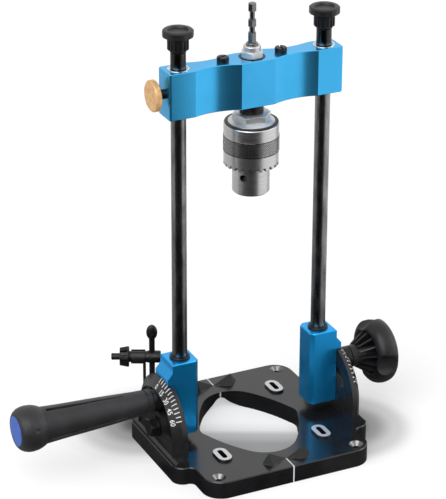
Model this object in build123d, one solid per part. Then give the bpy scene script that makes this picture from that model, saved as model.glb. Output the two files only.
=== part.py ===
"""Portable drill guide with a keyed chuck, two posts and a tilting frame.

Frame: millimetres, +Z up. The origin is on the drilling axis, at the underside
of the base. +X points to the star knob and -Y to the front, the side that the
posts tilt towards.

A flat base with a large centre opening carries two graduated sector plates.
Two anodised blocks swing between the plates on pivot bolts and hold the posts.
A crossbar slides on the posts in bushes and carries a ball-borne spindle with
a three-jaw chuck below and a hexagonal drive shank above.
"""

import os
from math import cos, pi, radians, sin, sqrt, tan

from build123d import *

# Driving dimensions

POST_D = 12.7
POST_X = 65.3
POST_FOOT_Z = 62.5
POST_TOP_Z = 365.5
POST_RING_D = 17.4
POST_RING_H = 2.0

BASE_T = 15.4
BASE_LOBE_X = 76.5
BASE_LOBE_Y = 85.5
BASE_LOBE_R = 17.0
BASE_EAR_X = 91.7
BASE_EAR_Y = 50.5
BASE_EAR_R = 10.0
BASE_EAR_BLEND = 5.0
BASE_EDGE = 0.8

HOLE_TIP_Y = 57.0
HOLE_LOBE_R = 28.1
HOLE_LOBE_X = 22.3
HOLE_TIP_X = 45.5
HOLE_SIDE_MID = (35.5, 25.5)
HOLE_SIDE_END = (43.5, 7.0)
NOTCH_SIDE = [(3.5, 8.9), (6.5, 6.2), (10.0, 3.7), (13.5, 1.9), (17.0, 0.6), (20.0, 0.0)]
NOTCH_H = 10.0
NOTCH_START_Y = 44.0
NOTCH_END_Y = 77.0

CORNER_X = 64.6
CORNER_Y = 75.0
CORNER_D = 5.5
CORNER_SINK_D = 12.0

SLOT_BOSS_X = 46.75
SLOT_BOSS_Y = 44.6
SLOT_BOSS_W = 13.0
SLOT_BOSS_L = 22.0
SLOT_BOSS_H = 2.0
SLOT_W = 4.5
SLOT_L = 14.0

WEDGE_TIP_Y = 71.0
WEDGE_RIDGE_X = 16.0
WEDGE_END_X = 22.0
WEDGE_HALF = 7.5
WEDGE_H = 8.5

PIVOT_Z = 31.6
CLAMP_R = 25.1
TILT_MAX = 60.0
PLATE_IN_X = 77.8
PLATE_RIM_X = 82.2
PLATE_WEB_X = 87.0
PLATE_BAND_X = 88.7
PLATE_R = 44.0
BAND_IN_R = 34.9
POCKET_IN_R = 15.3
POCKET_FLOOR_X = 81.3
POCKET_END = 24.0
PLATE_FOOT_X = 90.0
PLATE_FOOT_H = 3.5
PLATE_FOOT_Y = 45.5

BLOCK_W = 24.6
BLOCK_IN_X = POST_X - BLOCK_W / 2
BLOCK_OUT_X = 77.5
BLOCK_HALF_Y = 12.5
BLOCK_Z0 = 24.6
BLOCK_Z1 = 92.5
BLOCK_CHAMFER = 3.2
LIP_X = 82.0
LIP_TOP_Z = 79.5
LIP_SLOPE_Z = 85.0
LIP_R = 44.5

STUD_D = 8.0
RUN = 0.05
GAP = 0.3
BOLT_AF = 15.0
BOLT_HEAD_H = 6.0
WASHER_D = 18.0
WASHER_T = 1.7

COLLAR_D = 19.0
COLLAR_IN_X = 81.6
COLLAR_OUT_X = 92.3
STAR_COLLAR_OUT_X = 96.5
GRIP_END_X = 214.0
GRIP_NECK_X = 98.5
GRIP_SHOULDER_X = 192.0
GRIP_GROOVE_TURNS = (82.0, -27.0, 207.0)
GRIP_GROOVE_X0 = 120.0
GRIP_GROOVE_X1 = 184.0
HANDLE_STUD_GRIP = 40.0
CAP_D = 25.0
CAP_T = 1.5

STAR_IN_X = 115.5
STAR_OUT_X = 134.5
STAR_MOUTH_R = 19.3
STAR_RIM_R = 24.5
STAR_BULGE_R = 30.2
STAR_LOBES = 3
STAR_SCOOP_R = 24.0
STAR_SCOOP_REACH = 21.8
STAR_SCOOP_TILT = 18.0
STAR_SCOOP_TURN = -5.0
STAR_RIBS = 14
STAR_RIB_T = 1.6
STAR_STUD_DEPTH = 4.0
STAR_FRONT = -90.0

BAR_Z0 = 311.0
BAR_Z1 = 350.5
BAR_HALF_X = 77.9
BAR_END_Y = 11.0
BAR_WAIST_Y = 8.1
BAR_BOSS_Y = 12.8
BAR_BOSS_X = 15.0
BAR_END_FLAT_X = 55.0
BAR_WAIST_X = 34.0
BUSH_OD = 18.0
BAR_SCREW_X = 26.0
BAR_SCREW_D = 5.0
BAR_SCREW_HEAD_D = 10.0
BAR_SCREW_HEAD_H = 4.0

LOCK_Z = 331.0
LOCK_KNOB_D = 26.0
LOCK_IN_X = 84.9
LOCK_OUT_X = 89.8

BEARING_OD = 22.0
BEARING_ID = 10.0
BEARING_H = 6.0
BEARING_SPLIT_R = 7.0

SPINDLE_SHOULDER_D = 13.4
SHANK_AF = 6.35
SHANK_TOP_Z = 396.1
SHANK_GROOVES = [(371.0, 376.5, 4.6), (382.0, 389.4, 4.3)]
NUT_AF = 17.0
NUT_HEX_H = 5.2
NUT_COLLAR_D = 14.5
NUT_COLLAR_H = 4.5
SHAFT_TOP_Z = 362.5
SPACER_D = 20.0
FLANGE_D = 38.7
FLANGE_NUT_AF = 28.4
FLANGE_NUT_TOP_Z = 303.0
CHUCK_THREAD_D = 12.7

CHUCK_NOSE_Z = 233.4
CHUCK_NOSE_D = 31.3
SLEEVE_D = 45.7
SLEEVE_Z0 = 257.6
SLEEVE_Z1 = 294.1
SLEEVE_BAND_Z0 = 270.4
SLEEVE_BAND_Z1 = 283.5
SLEEVE_BAND_PROUD = 0.15
SLEEVE_CAVITY_R = 21.2
SLEEVE_TEETH = 24
SLEEVE_TOOTH_H = 3.2
CHUCK_TOP_Z = 294.9
CHUCK_FLANGE_D = 44.5
CHUCK_BODY_R = 20.9
CHUCK_GROOVE_R = 13.8
CHUCK_CAVITY_Z = 268.0
CHUCK_THREAD_Z = 275.0
KEY_HOLE_D = 6.1
KEY_HOLE_Z = 249.4
KEY_HOLE_ANGLE = 219.8
BIT_D = 13.0
BIT_CLOSED_D = 1.5
JAW_R = 3.5
JAW_TILT = 13.0
JAW_NOSE_R = 4.5
JAW_TIP_Z = 234.0
JAW_TOP_Z = 288.2
JAW_REACH_R = 20.2
JAW_RACK = 2.6
JAW_PITCH = 2.5
SPLIT_NUT_Z0 = 261.5
SPLIT_NUT_Z1 = 268.5

KEY_HOLDER_X = -66.4
KEY_HOLDER_Y = 55.0
KEY_AXIS_Z = 66.9
KEY_YAW = -25.7
KEY_PINION_TEETH = 12
KEY_HUB_R = 5.3
KEY_HUB_END = -7.6
KEY_SHANK_R = 4.85
KEY_PINION_BACK = 19.8
KEY_PINION_FRONT = 27.7
KEY_TIP = 35.1
KEY_BAR_R = 2.5
KEY_BAR_LOW = -27.0

POST_KNOB_D = 25.3
POST_KNOB_NECK_Z = 376.5
POST_KNOB_TOP_Z = 383.5
POST_KNOB_RIBS = 16
POST_STUD_DEPTH = 18.0

OUT = "parts"
os.makedirs(OUT, exist_ok=True)
BOTTOM = (Align.CENTER, Align.CENTER, Align.MIN)


# Shared shapes

def rod(radius, z0, z1, x=0.0, y=0.0):
    """An upright cylinder from height z0 to z1."""
    return Pos(x, y, z0) * Cylinder(radius, z1 - z0, align=BOTTOM)


def rod_x(radius, x0, x1, y=0.0, z=0.0):
    """A cylinder lying along X from x0 to x1."""
    low, high = sorted((x0, x1))
    return Pos(low, y, z) * Rot(0, 90, 0) * Cylinder(radius, high - low, align=BOTTOM)


def block(x0, x1, y0, y1, z0, z1):
    """A box between two corners."""
    size = (x1 - x0, y1 - y0, z1 - z0)
    return Pos((x0 + x1) / 2, (y0 + y1) / 2, (z0 + z1) / 2) * Box(*size)


def hexagon(across_flats, z0, z1, turn=0.0):
    """An upright hexagonal bar with a corner on +X before it is turned."""
    sketch = RegularPolygon(across_flats / 2, 6, major_radius=False)
    return Pos(0, 0, z0) * Rot(0, 0, turn) * extrude(sketch, z1 - z0)


def turned(points):
    """A solid of revolution about Z from (radius, height) points."""
    profile = make_face(Polyline(*[(r, 0, z) for r, z in points], close=True))
    return revolve(profile, Axis.Z)


def turned_x(points, y=0.0, z=0.0):
    """A solid of revolution about an axis along X from (x, radius) points."""
    profile = make_face(Polyline(*[(r, 0, x) for x, r in points], close=True))
    return Pos(0, y, z) * Rot(0, 90, 0) * revolve(profile, Axis.Z)


def flip(part):
    """The mirror image on the other side of the drilling axis."""
    return mirror(part, about=Plane.YZ)


def around(part, count, start=0.0):
    """Copies of a part turned evenly about Z."""
    return [Rot(0, 0, start + 360.0 * k / count) * part for k in range(count)]


def save(name, part):
    """Write one node."""
    solids = part.solids() if hasattr(part, "solids") else part
    shape = solids[0] if len(solids) == 1 else Compound(children=list(solids))
    export_step(shape, f"{OUT}/{name}.step")


# Base

def base_outline():
    """Corner lobes joined by an ear on each side, with blended corners."""
    lobes = RectangleRounded(2 * BASE_LOBE_X, 2 * BASE_LOBE_Y, BASE_LOBE_R)
    ears = RectangleRounded(2 * BASE_EAR_X, 2 * BASE_EAR_Y, BASE_EAR_R)
    outline = lobes + ears
    joints = outline.vertices().filter_by(
        lambda v: abs(abs(v.X) - BASE_LOBE_X) < 0.01 and abs(abs(v.Y) - BASE_EAR_Y) < 0.01
    )
    return fillet(joints, BASE_EAR_BLEND)


def centre_opening():
    """The long opening: round ends front and back, faintly bowed sides, soft side tips."""
    lobe_y = HOLE_TIP_Y - HOLE_LOBE_R + sqrt(HOLE_LOBE_R ** 2 - HOLE_LOBE_X ** 2)
    mid_x, mid_y = HOLE_SIDE_MID
    end_x, end_y = HOLE_SIDE_END
    arcs = []
    for sy in (1, -1):
        left, right = (-HOLE_LOBE_X, sy * lobe_y), (HOLE_LOBE_X, sy * lobe_y)
        arcs.append(ThreePointArc(left, (0, sy * HOLE_TIP_Y), right))
        for sx in (1, -1):
            start = (sx * HOLE_LOBE_X, sy * lobe_y)
            arcs.append(ThreePointArc(start, (sx * mid_x, sy * mid_y), (sx * end_x, sy * end_y)))
    for sx in (1, -1):
        arcs.append(ThreePointArc((sx * end_x, -end_y), (sx * HOLE_TIP_X, 0), (sx * end_x, end_y)))
    return make_face(arcs)


def wedge():
    """A sighting wedge: a ridge that rises sideways from its tip, then drops steeply."""
    def gable(x, scale):
        half, high = WEDGE_HALF * scale, WEDGE_H * scale
        points = [(x, -half, 0), (x, half, 0), (x, 0, high)]
        return make_face(Polyline(*points, close=True))
    tip, full, end = gable(0.4, 0.03), gable(WEDGE_RIDGE_X, 1.0), gable(WEDGE_END_X, 0.06)
    return loft([tip, full], ruled=True) + loft([full, end], ruled=True)


def slot_boss(x, y):
    """A raised obround pad."""
    pad = extrude(SlotOverall(SLOT_BOSS_L, SLOT_BOSS_W), BASE_T / 2 + SLOT_BOSS_H)
    pad = chamfer(pad.faces().sort_by(Axis.Z)[-1].edges(), 0.4)
    return Pos(x, y, BASE_T / 2) * Rot(0, 0, 90) * pad


def slot_cut(x, y):
    """The obround hole through a pad and the base."""
    return Pos(x, y, -1) * Rot(0, 0, 90) * extrude(SlotOverall(SLOT_L, SLOT_W), BASE_T + SLOT_BOSS_H + 2)


def corner_hole(x, y):
    """A countersunk screw hole."""
    depth = (CORNER_SINK_D - CORNER_D) / 2
    sink = Cone(CORNER_D / 2, CORNER_SINK_D / 2, depth, align=BOTTOM)
    return rod(CORNER_D / 2, -1, BASE_T + 1, x, y) + Pos(x, y, BASE_T - depth) * sink


def foot_screw_places():
    """Where the countersunk screws rise into each sector plate's foot."""
    return [(sx * (PLATE_IN_X + PLATE_WEB_X) / 2, sy * 36.0) for sx in (1, -1) for sy in (1, -1)]


def foot_screw(x, y, slack=0.0):
    """A countersunk screw driven up from under the base."""
    head = Cone(5.0, 2.5, 2.8, align=BOTTOM)
    return Pos(x, y, 0) * head + rod(2.5 + slack, 2.0, BASE_T + 12.0, x, y)


def sight_notch(sy):
    """A bell-shaped tunnel under the plate, from the opening towards its front or back edge."""
    rising = [(-x, z) for x, z in reversed(NOTCH_SIDE)]
    bell = [(x, 0, z) for x, z in rising + [(0, NOTCH_H)] + NOTCH_SIDE]
    edge = NOTCH_SIDE[-1][0]
    profile = make_face([Spline(*bell), Polyline((edge, 0, 0), (edge, 0, -1), (-edge, 0, -1), (-edge, 0, 0))])
    start, end = sorted((sy * NOTCH_START_Y, sy * NOTCH_END_Y))
    return Pos(0, start, 0) * extrude(profile, end - start, dir=(0, 1, 0))


def make_base():
    """The cast plate with its opening, pads, wedges, screw holes and sight notches."""
    plate = extrude(base_outline(), BASE_T)
    plate = chamfer(plate.faces().sort_by(Axis.Z)[-1].edges(), BASE_EDGE)
    plate -= Pos(0, 0, -1) * extrude(centre_opening(), BASE_T + 2)
    for sy in (1, -1):
        plate -= sight_notch(sy)
        for sx in (1, -1):
            turn = 0 if sx > 0 else 180
            plate += Pos(0, sy * WEDGE_TIP_Y, BASE_T) * Rot(0, 0, turn) * wedge()
            plate += slot_boss(sx * SLOT_BOSS_X, sy * SLOT_BOSS_Y)
            plate -= slot_cut(sx * SLOT_BOSS_X, sy * SLOT_BOSS_Y)
            plate -= corner_hole(sx * CORNER_X, sy * CORNER_Y)
    for x, y in foot_screw_places():
        plate -= foot_screw(x, y)
    return plate


# Sector plates

def arch(radius, low=-20.0):
    """Half disc on straight sides, drawn in the YZ plane about the pivot."""
    disc = Pos(0, PIVOT_Z) * Circle(radius)
    sides = Pos(0, (PIVOT_Z + low) / 2) * Rectangle(2 * radius, PIVOT_Z - low)
    return Plane.YZ * (disc + sides)


def ring_cut(r_in, r_out, a0, a1, x0, x1):
    """An arc-shaped cutter about the pivot, with angles from the top towards the front."""
    points = [(0, 0)]
    steps = 6
    for k in range(steps + 1):
        a = radians(a0 + (a1 - a0) * k / steps)
        points.append((-2 * r_out * sin(a), 2 * r_out * cos(a)))
    fan = make_face(Polyline(*points, close=True))
    ring = (Circle(r_out) - Circle(r_in)) & fan
    return Pos(x0, 0, PIVOT_Z) * extrude(Plane.YZ * ring, x1 - x0)


def at_clamp(angle):
    """Centre of the clamp stud about the pivot at a tilt angle, as (y, z)."""
    a = radians(angle)
    return -CLAMP_R * sin(a), PIVOT_Z + CLAMP_R * cos(a)


def make_sector():
    """Right sector plate: coned scale band, collar pocket, stud slot, pivot hole, foot."""
    plate = Pos(PLATE_IN_X, 0, 0) * extrude(arch(PLATE_R), PLATE_RIM_X - PLATE_IN_X)
    rise = PLATE_BAND_X - PLATE_RIM_X
    inner = Pos(PLATE_BAND_X, 0, 0) * arch(BAND_IN_R)
    outer = Pos(PLATE_RIM_X, 0, 0) * arch(PLATE_R)
    plate += loft([outer.faces()[0], inner.faces()[0]], ruled=True)
    plate -= Pos(PLATE_WEB_X, 0, 0) * extrude(arch(BAND_IN_R), rise)
    foot = block(PLATE_IN_X, PLATE_FOOT_X, -PLATE_FOOT_Y, PLATE_FOOT_Y, BASE_T, BASE_T + PLATE_FOOT_H)
    plate += chamfer(foot.edges().filter_by(Axis.Y).group_by(Axis.Z)[-1].sort_by(Axis.X)[-1:], 2.0)
    plate &= block(PLATE_IN_X, PLATE_FOOT_X, -60, 60, BASE_T, 100)
    plate -= ring_cut(POCKET_IN_R, BAND_IN_R, -POCKET_END, TILT_MAX + POCKET_END, POCKET_FLOOR_X, 95)
    slot_r = STUD_D / 2 + GAP
    plate -= ring_cut(CLAMP_R - slot_r, CLAMP_R + slot_r, 0, TILT_MAX, PLATE_IN_X - 1, 95)
    for angle in (0, TILT_MAX):
        y, z = at_clamp(angle)
        plate -= rod_x(slot_r, PLATE_IN_X - 1, 95, y, z)
    plate -= rod_x(STUD_D / 2 + RUN, PLATE_IN_X - 1, 95, 0, PIVOT_Z)
    for x, y in foot_screw_places():
        plate -= rod(2.5, 0, BASE_T + 12.0, x, y)
    return plate


def make_pivot_washer():
    """Flat washer under the right pivot bolt's head."""
    start = PLATE_WEB_X + GAP
    ring = rod_x(WASHER_D / 2, start, start + WASHER_T, 0, PIVOT_Z)
    return ring - rod_x(STUD_D / 2, start - 1, start + 5, 0, PIVOT_Z)


def make_pivot_bolt():
    """Right pivot bolt: hexagonal head, shoulder in the plate, thread in the block."""
    head_x = PLATE_WEB_X + GAP + WASHER_T
    head = Rot(0, 90, 0) * hexagon(BOLT_AF, 0, BOLT_HEAD_H, 12)
    head = chamfer(head.faces().sort_by(Axis.X)[-1].edges(), 0.7)
    shank = rod_x(STUD_D / 2, BLOCK_IN_X + 4, head_x, 0, PIVOT_Z)
    return Pos(head_x, 0, PIVOT_Z) * head + shank


# Tilting frame

def make_post_block():
    """Right post block: square bar with a stepped outer side and a pointer lip over the rim."""
    side = [
        (BLOCK_IN_X, BLOCK_Z0), (BLOCK_OUT_X, BLOCK_Z0), (BLOCK_OUT_X, PIVOT_Z + LIP_R - 6),
        (LIP_X, PIVOT_Z + LIP_R - 6), (LIP_X, LIP_TOP_Z), (BLOCK_OUT_X, LIP_SLOPE_Z),
        (BLOCK_OUT_X, BLOCK_Z1), (BLOCK_IN_X, BLOCK_Z1),
    ]
    profile = make_face(Polyline(*[(x, 0, z) for x, z in side], close=True))
    body = extrude(profile, BLOCK_HALF_Y, both=True)
    body -= rod_x(LIP_R, BLOCK_OUT_X, LIP_X + 1, 0, PIVOT_Z)
    inner = body.edges().filter_by(Axis.Z).filter_by(lambda e: abs(e.center().X - BLOCK_IN_X) < 0.01)
    body = chamfer(inner, BLOCK_CHAMFER)
    body = chamfer(body.faces().sort_by(Axis.Z)[-1].edges(), 0.8)
    body -= rod(POST_D / 2, POST_FOOT_Z, BLOCK_Z1 + 1, POST_X)
    body -= rod_x(STUD_D / 2, BLOCK_IN_X + 4, LIP_X + 1, 0, PIVOT_Z)
    body -= rod_x(STUD_D / 2 + RUN, BLOCK_IN_X + 3.5, LIP_X + 1, 0, PIVOT_Z + CLAMP_R)
    body -= Pos(POST_X, 0, 78) * Rot(-90, 0, 0) * Cylinder(3.0, BLOCK_HALF_Y + 1, align=BOTTOM)
    return body


def make_grub_screw():
    """Right set screw that locks the post in its block, with a hexagon socket."""
    length = BLOCK_HALF_Y - 0.5 - POST_D / 2
    screw = Cylinder(3.0, length, align=BOTTOM) - Pos(0, 0, length - 3) * hexagon(3.0, 0, 4)
    return Pos(POST_X, POST_D / 2, 78) * Rot(-90, 0, 0) * screw


def make_post():
    """Right post, chamfered, with a bore in its top for the end knob's screw."""
    post = rod(POST_D / 2, POST_FOOT_Z, POST_TOP_Z, POST_X)
    post = chamfer(post.edges().filter_by(GeomType.CIRCLE), 0.8)
    return post - rod(STUD_D / 2 + RUN, POST_TOP_Z - 20, POST_TOP_Z + 1, POST_X)


def make_post_ring():
    """Right retaining ring on the post, on top of the block."""
    ring = rod(POST_RING_D / 2, BLOCK_Z1, BLOCK_Z1 + POST_RING_H, POST_X)
    ring = chamfer(ring.faces().sort_by(Axis.Z)[-1].edges(), 0.5)
    return ring - rod(POST_D / 2, BLOCK_Z1 - 1, BLOCK_Z1 + POST_RING_H + 1, POST_X)


def make_post_knob():
    """Right end knob: dished cap with eight shallow flats on a ribbed neck."""
    z0 = POST_TOP_Z + GAP
    cap_r = POST_KNOB_D / 2
    cap = turned([
        (0, POST_KNOB_NECK_Z), (9.5, POST_KNOB_NECK_Z), (cap_r, POST_KNOB_NECK_Z + 1.8),
        (cap_r, POST_KNOB_TOP_Z - 0.8), (cap_r - 1.0, POST_KNOB_TOP_Z), (8.6, POST_KNOB_TOP_Z),
        (7.6, POST_KNOB_TOP_Z - 1.6), (0, POST_KNOB_TOP_Z - 1.6),
    ])
    eight = RegularPolygon(cap_r - 0.25, 8, major_radius=False)
    cap &= Pos(0, 0, POST_KNOB_NECK_Z) * Rot(0, 0, 10) * extrude(eight, 10)
    neck = turned([(0, z0), (7.0, z0), (7.4, z0 + 1.5), (8.2, POST_KNOB_NECK_Z), (0, POST_KNOB_NECK_Z)])
    rib = Pos(8.0, 0, z0 + 1.5) * Rot(0, 5, 0) * Box(1.5, 1.3, POST_KNOB_NECK_Z - z0, align=BOTTOM)
    for copy in around(rib & rod(8.7, z0, POST_KNOB_NECK_Z), POST_KNOB_RIBS):
        neck += copy
    return Pos(POST_X, 0, 0) * (cap + neck - rod(STUD_D / 2, z0 - 1, POST_KNOB_NECK_Z))


def make_post_knob_stud():
    """Steel stud moulded into the right end knob, down into the post."""
    stud = rod(STUD_D / 2, POST_TOP_Z - POST_STUD_DEPTH, POST_KNOB_NECK_Z, POST_X)
    return chamfer(stud.faces().sort_by(Axis.Z)[0].edges(), 0.8)


# Clamp handle and star knob

def clamp_screw(x0, x1):
    """A clamp stud on the clamp axis, from x0 to x1."""
    return rod_x(STUD_D / 2, x0, x1, 0, PIVOT_Z + CLAMP_R)


def make_clamp_collar(out_x):
    """Right thrust collar, which runs in the sector plate's pocket."""
    z = PIVOT_Z + CLAMP_R
    collar = rod_x(COLLAR_D / 2, COLLAR_IN_X, out_x, 0, z)
    collar = chamfer(collar.edges().filter_by(GeomType.CIRCLE), 0.6)
    return collar - rod_x(STUD_D / 2, COLLAR_IN_X - 1, out_x + 1, 0, z)


def make_grip():
    """Moulded grip along -X: neck ring, waist with three drop-shaped grooves, and a bulb."""
    end, shoulder, neck = -GRIP_END_X, -GRIP_SHOULDER_X, -GRIP_NECK_X
    waist = [
        (-COLLAR_OUT_X, 0), (-COLLAR_OUT_X, 9.4), (-COLLAR_OUT_X - 1.0, 10.4), (neck + 0.9, 10.9),
        (neck + 0.7, 10.1), (neck - 0.7, 10.1), (neck - 0.9, 11.0), (-110, 11.8), (-130, 13.3), (-150, 14.4),
        (-170, 15.0), (shoulder + 2, 15.4), (shoulder, 16.6),
    ]
    bulb = ThreePointArc((shoulder, 16.6), (-202.5, 19.4), (end + 1.5, 15.2))
    close = Polyline((end + 1.5, 15.2), (end, 13.6), (end, 0), (-COLLAR_OUT_X, 0))
    grip = revolve(make_face([Polyline(*waist), bulb, close]), Axis.X)
    length = GRIP_GROOVE_X1 - GRIP_GROOVE_X0
    middle = -(GRIP_GROOVE_X0 + GRIP_GROOVE_X1) / 2
    drop = Pos(middle, -14.3, 0) * Rot(0, 0, 2.4) * Rot(0, -90, 0) * Cone(0.5, 2.6, length)
    drop += Pos(-GRIP_GROOVE_X1, -15.65, 0) * Sphere(2.6)
    for turn in GRIP_GROOVE_TURNS:
        grip -= Rot(-turn, 0, 0) * drop
    grip -= rod_x(CAP_D / 2, end - 1, end + CAP_T)
    grip -= rod_x(STUD_D / 2, -COLLAR_OUT_X - HANDLE_STUD_GRIP, -COLLAR_OUT_X + 1)
    return Pos(0, 0, PIVOT_Z + CLAMP_R) * grip


def make_grip_cap():
    """Round inlay in the grip's end."""
    z = PIVOT_Z + CLAMP_R
    cap = rod_x(CAP_D / 2, -GRIP_END_X, -GRIP_END_X + CAP_T, 0, z)
    return chamfer(cap.faces().sort_by(Axis.X)[0].edges(), 0.4)


def make_star_knob():
    """Three-lobed knob along +X: hub, ribbed hollow back, bulging rim and domed front."""
    depth = STAR_OUT_X - STAR_IN_X
    floor = depth - 5.5
    shell = turned([
        (0, 0), (STAR_RIM_R, 0), (27.8, 2.5), (29.8, 6.5), (STAR_BULGE_R, 9.5), (29.2, 13.0), (26.8, 16.3),
        (21.0, depth - 0.9), (12.0, depth), (0, depth),
    ])
    start = STAR_SCOOP_REACH + STAR_SCOOP_R
    for k in range(STAR_LOBES):
        scoop = Pos(start, 0, 0) * Rot(0, STAR_SCOOP_TILT, 0) * Cylinder(STAR_SCOOP_R, 90)
        shell -= Rot(0, 0, STAR_FRONT - STAR_SCOOP_TURN + 360 * k / STAR_LOBES) * scoop
    shell -= Pos(0, 0, -1) * Cone(STAR_MOUTH_R, STAR_MOUTH_R - 2.5, floor + 1, align=BOTTOM)
    hub_low = STAR_COLLAR_OUT_X - STAR_IN_X
    hub = turned([(0, hub_low), (9.4, hub_low), (10.4, 1.5), (11.0, floor), (0, floor)])
    rib = make_face(Polyline(
        (8, 0, -13.5), (12, 0, -12.5), (STAR_MOUTH_R + 1, 0, 1.0), (STAR_MOUTH_R + 1, 0, floor), (8, 0, floor),
        close=True,
    ))
    rib = extrude(rib, STAR_RIB_T / 2, both=True)
    knob = shell + hub
    for copy in around(rib, STAR_RIBS):
        knob += copy
    knob -= rod(STUD_D / 2, hub_low - 1, STAR_STUD_DEPTH)
    return Pos(STAR_IN_X, 0, PIVOT_Z + CLAMP_R) * Rot(0, 90, 0) * knob


# Crossbar

def bar_outline():
    """Plan of the bar: flat ends, hollow waists and a proud flat boss in the middle."""
    lines = []
    for sy in (1, -1):
        lines.append(Line((-BAR_BOSS_X, sy * BAR_BOSS_Y), (BAR_BOSS_X, sy * BAR_BOSS_Y)))
        for sx in (1, -1):
            boss = (sx * BAR_BOSS_X, sy * BAR_BOSS_Y)
            end = (sx * BAR_END_FLAT_X, sy * BAR_END_Y)
            lines.append(ThreePointArc(boss, (sx * BAR_WAIST_X, sy * BAR_WAIST_Y), end))
            lines.append(Line(end, (sx * BAR_HALF_X, sy * BAR_END_Y)))
    for sx in (1, -1):
        lines.append(Line((sx * BAR_HALF_X, -BAR_END_Y), (sx * BAR_HALF_X, BAR_END_Y)))
    outline = make_face(lines)
    corners = outline.vertices().filter_by(lambda v: abs(v.X) > BAR_HALF_X - 0.01)
    return fillet(corners, 2.0)


def make_bar():
    """The crossbar with its bush bores, bearing seats, lock bore and screw holes."""
    bar = Pos(0, 0, BAR_Z0) * extrude(bar_outline(), BAR_Z1 - BAR_Z0)
    bar = chamfer(bar.faces().filter_by(Axis.Z).edges(), 0.5)
    for sx in (1, -1):
        bar -= rod(BUSH_OD / 2, BAR_Z0 - 1, BAR_Z1 + 1, sx * POST_X)
        bar -= rod(BAR_SCREW_D / 2, BAR_Z1 - 16, BAR_Z1 + 1, sx * BAR_SCREW_X)
    bar -= rod(SPINDLE_SHOULDER_D / 2 + 1.0, BAR_Z0 - 1, BAR_Z1 + 1)
    bar -= rod(BEARING_OD / 2, BAR_Z1 - BEARING_H, BAR_Z1 + 1)
    bar -= rod(BEARING_OD / 2, BAR_Z0 - 1, BAR_Z0 + BEARING_H)
    bar -= rod_x(STUD_D / 2 + RUN, -BAR_HALF_X - 1, -POST_X, 0, LOCK_Z)
    return bar


def make_bush(lock_hole):
    """Right guide bush with a recessed mouth; the left one also has a hole for the lock screw."""
    top = BAR_Z1 + 0.5
    bush = rod(BUSH_OD / 2, BAR_Z0, top, POST_X) - rod(POST_D / 2 + RUN, BAR_Z0 - 1, top + 1, POST_X)
    bush -= rod(POST_D / 2 + 1.4, top - 1.6, top + 1, POST_X)
    if lock_hole:
        bush -= rod_x(STUD_D / 2 + RUN, POST_X, BAR_HALF_X, 0, LOCK_Z)
    return bush


def bar_screw():
    """A slotted cheese-head screw in the bar's top."""
    head_top = BAR_Z1 + BAR_SCREW_HEAD_H
    head = rod(BAR_SCREW_HEAD_D / 2, BAR_Z1, head_top)
    head = chamfer(head.faces().sort_by(Axis.Z)[-1].edges(), 0.5)
    head -= block(-6, 6, -0.75, 0.75, head_top - 1.5, head_top + 1)
    return head + rod(BAR_SCREW_D / 2, BAR_Z1 - 14, BAR_Z1)


def make_bar_screws():
    """Both bar screws, with their slots at different angles."""
    left = Pos(-BAR_SCREW_X, 0, 0) * Rot(0, 0, 20) * bar_screw()
    right = Pos(BAR_SCREW_X, 0, 0) * Rot(0, 0, 80) * bar_screw()
    return Compound(children=[left.solids()[0], right.solids()[0]])


def make_lock_screw():
    """Knurled lock knob on the bar's left end, with its screw against the post."""
    tip = -POST_X - POST_D / 2 - GAP
    knob = rod_x(LOCK_KNOB_D / 2, -LOCK_IN_X, -LOCK_OUT_X)
    knob = chamfer(knob.faces().sort_by(Axis.X)[0].edges(), 1.0)
    knob = chamfer(knob.faces().sort_by(Axis.X)[-1].edges(), 0.5)
    return Pos(0, 0, LOCK_Z) * (knob + rod_x(STUD_D / 2, tip, -LOCK_IN_X))


# Spindle and its bearings

def make_bearing_outer(z0):
    """Outer ring of a bearing, with its shields."""
    ring = rod(BEARING_OD / 2, z0, z0 + BEARING_H)
    return ring - rod(BEARING_SPLIT_R + RUN, z0 - 1, z0 + BEARING_H + 1)


def make_bearing_inner(z0, z1):
    """Inner ring of a bearing, slightly proud of the bar on its clamped side."""
    return rod(BEARING_SPLIT_R, z0, z1) - rod(BEARING_ID / 2, z0 - 1, z1 + 1)


def make_spindle():
    """Drive shank with two snap grooves, shaft, bearing shoulder and chuck thread."""
    shank = hexagon(SHANK_AF, SHAFT_TOP_Z, SHANK_TOP_Z, 4.3)
    shank &= turned([
        (0, SHAFT_TOP_Z), (4, SHAFT_TOP_Z), (4, SHANK_TOP_Z - 1.2), (2.6, SHANK_TOP_Z), (0, SHANK_TOP_Z),
    ])
    for z0, z1, groove_d in SHANK_GROOVES:
        shank -= rod(6, z0, z1) - rod(groove_d / 2, z0, z1)
    shoulder_z0, shoulder_z1 = BAR_Z0 + BEARING_H, BAR_Z1 - BEARING_H
    shaft = turned([
        (0, CHUCK_THREAD_Z), (CHUCK_THREAD_D / 2, CHUCK_THREAD_Z), (CHUCK_THREAD_D / 2, FLANGE_NUT_TOP_Z),
        (BEARING_ID / 2, FLANGE_NUT_TOP_Z), (BEARING_ID / 2, shoulder_z0),
        (SPINDLE_SHOULDER_D / 2, shoulder_z0), (SPINDLE_SHOULDER_D / 2, shoulder_z1),
        (BEARING_ID / 2, shoulder_z1), (BEARING_ID / 2, SHAFT_TOP_Z - 0.6),
        (BEARING_ID / 2 - 0.6, SHAFT_TOP_Z), (0, SHAFT_TOP_Z),
    ])
    return shank + shaft


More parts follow.
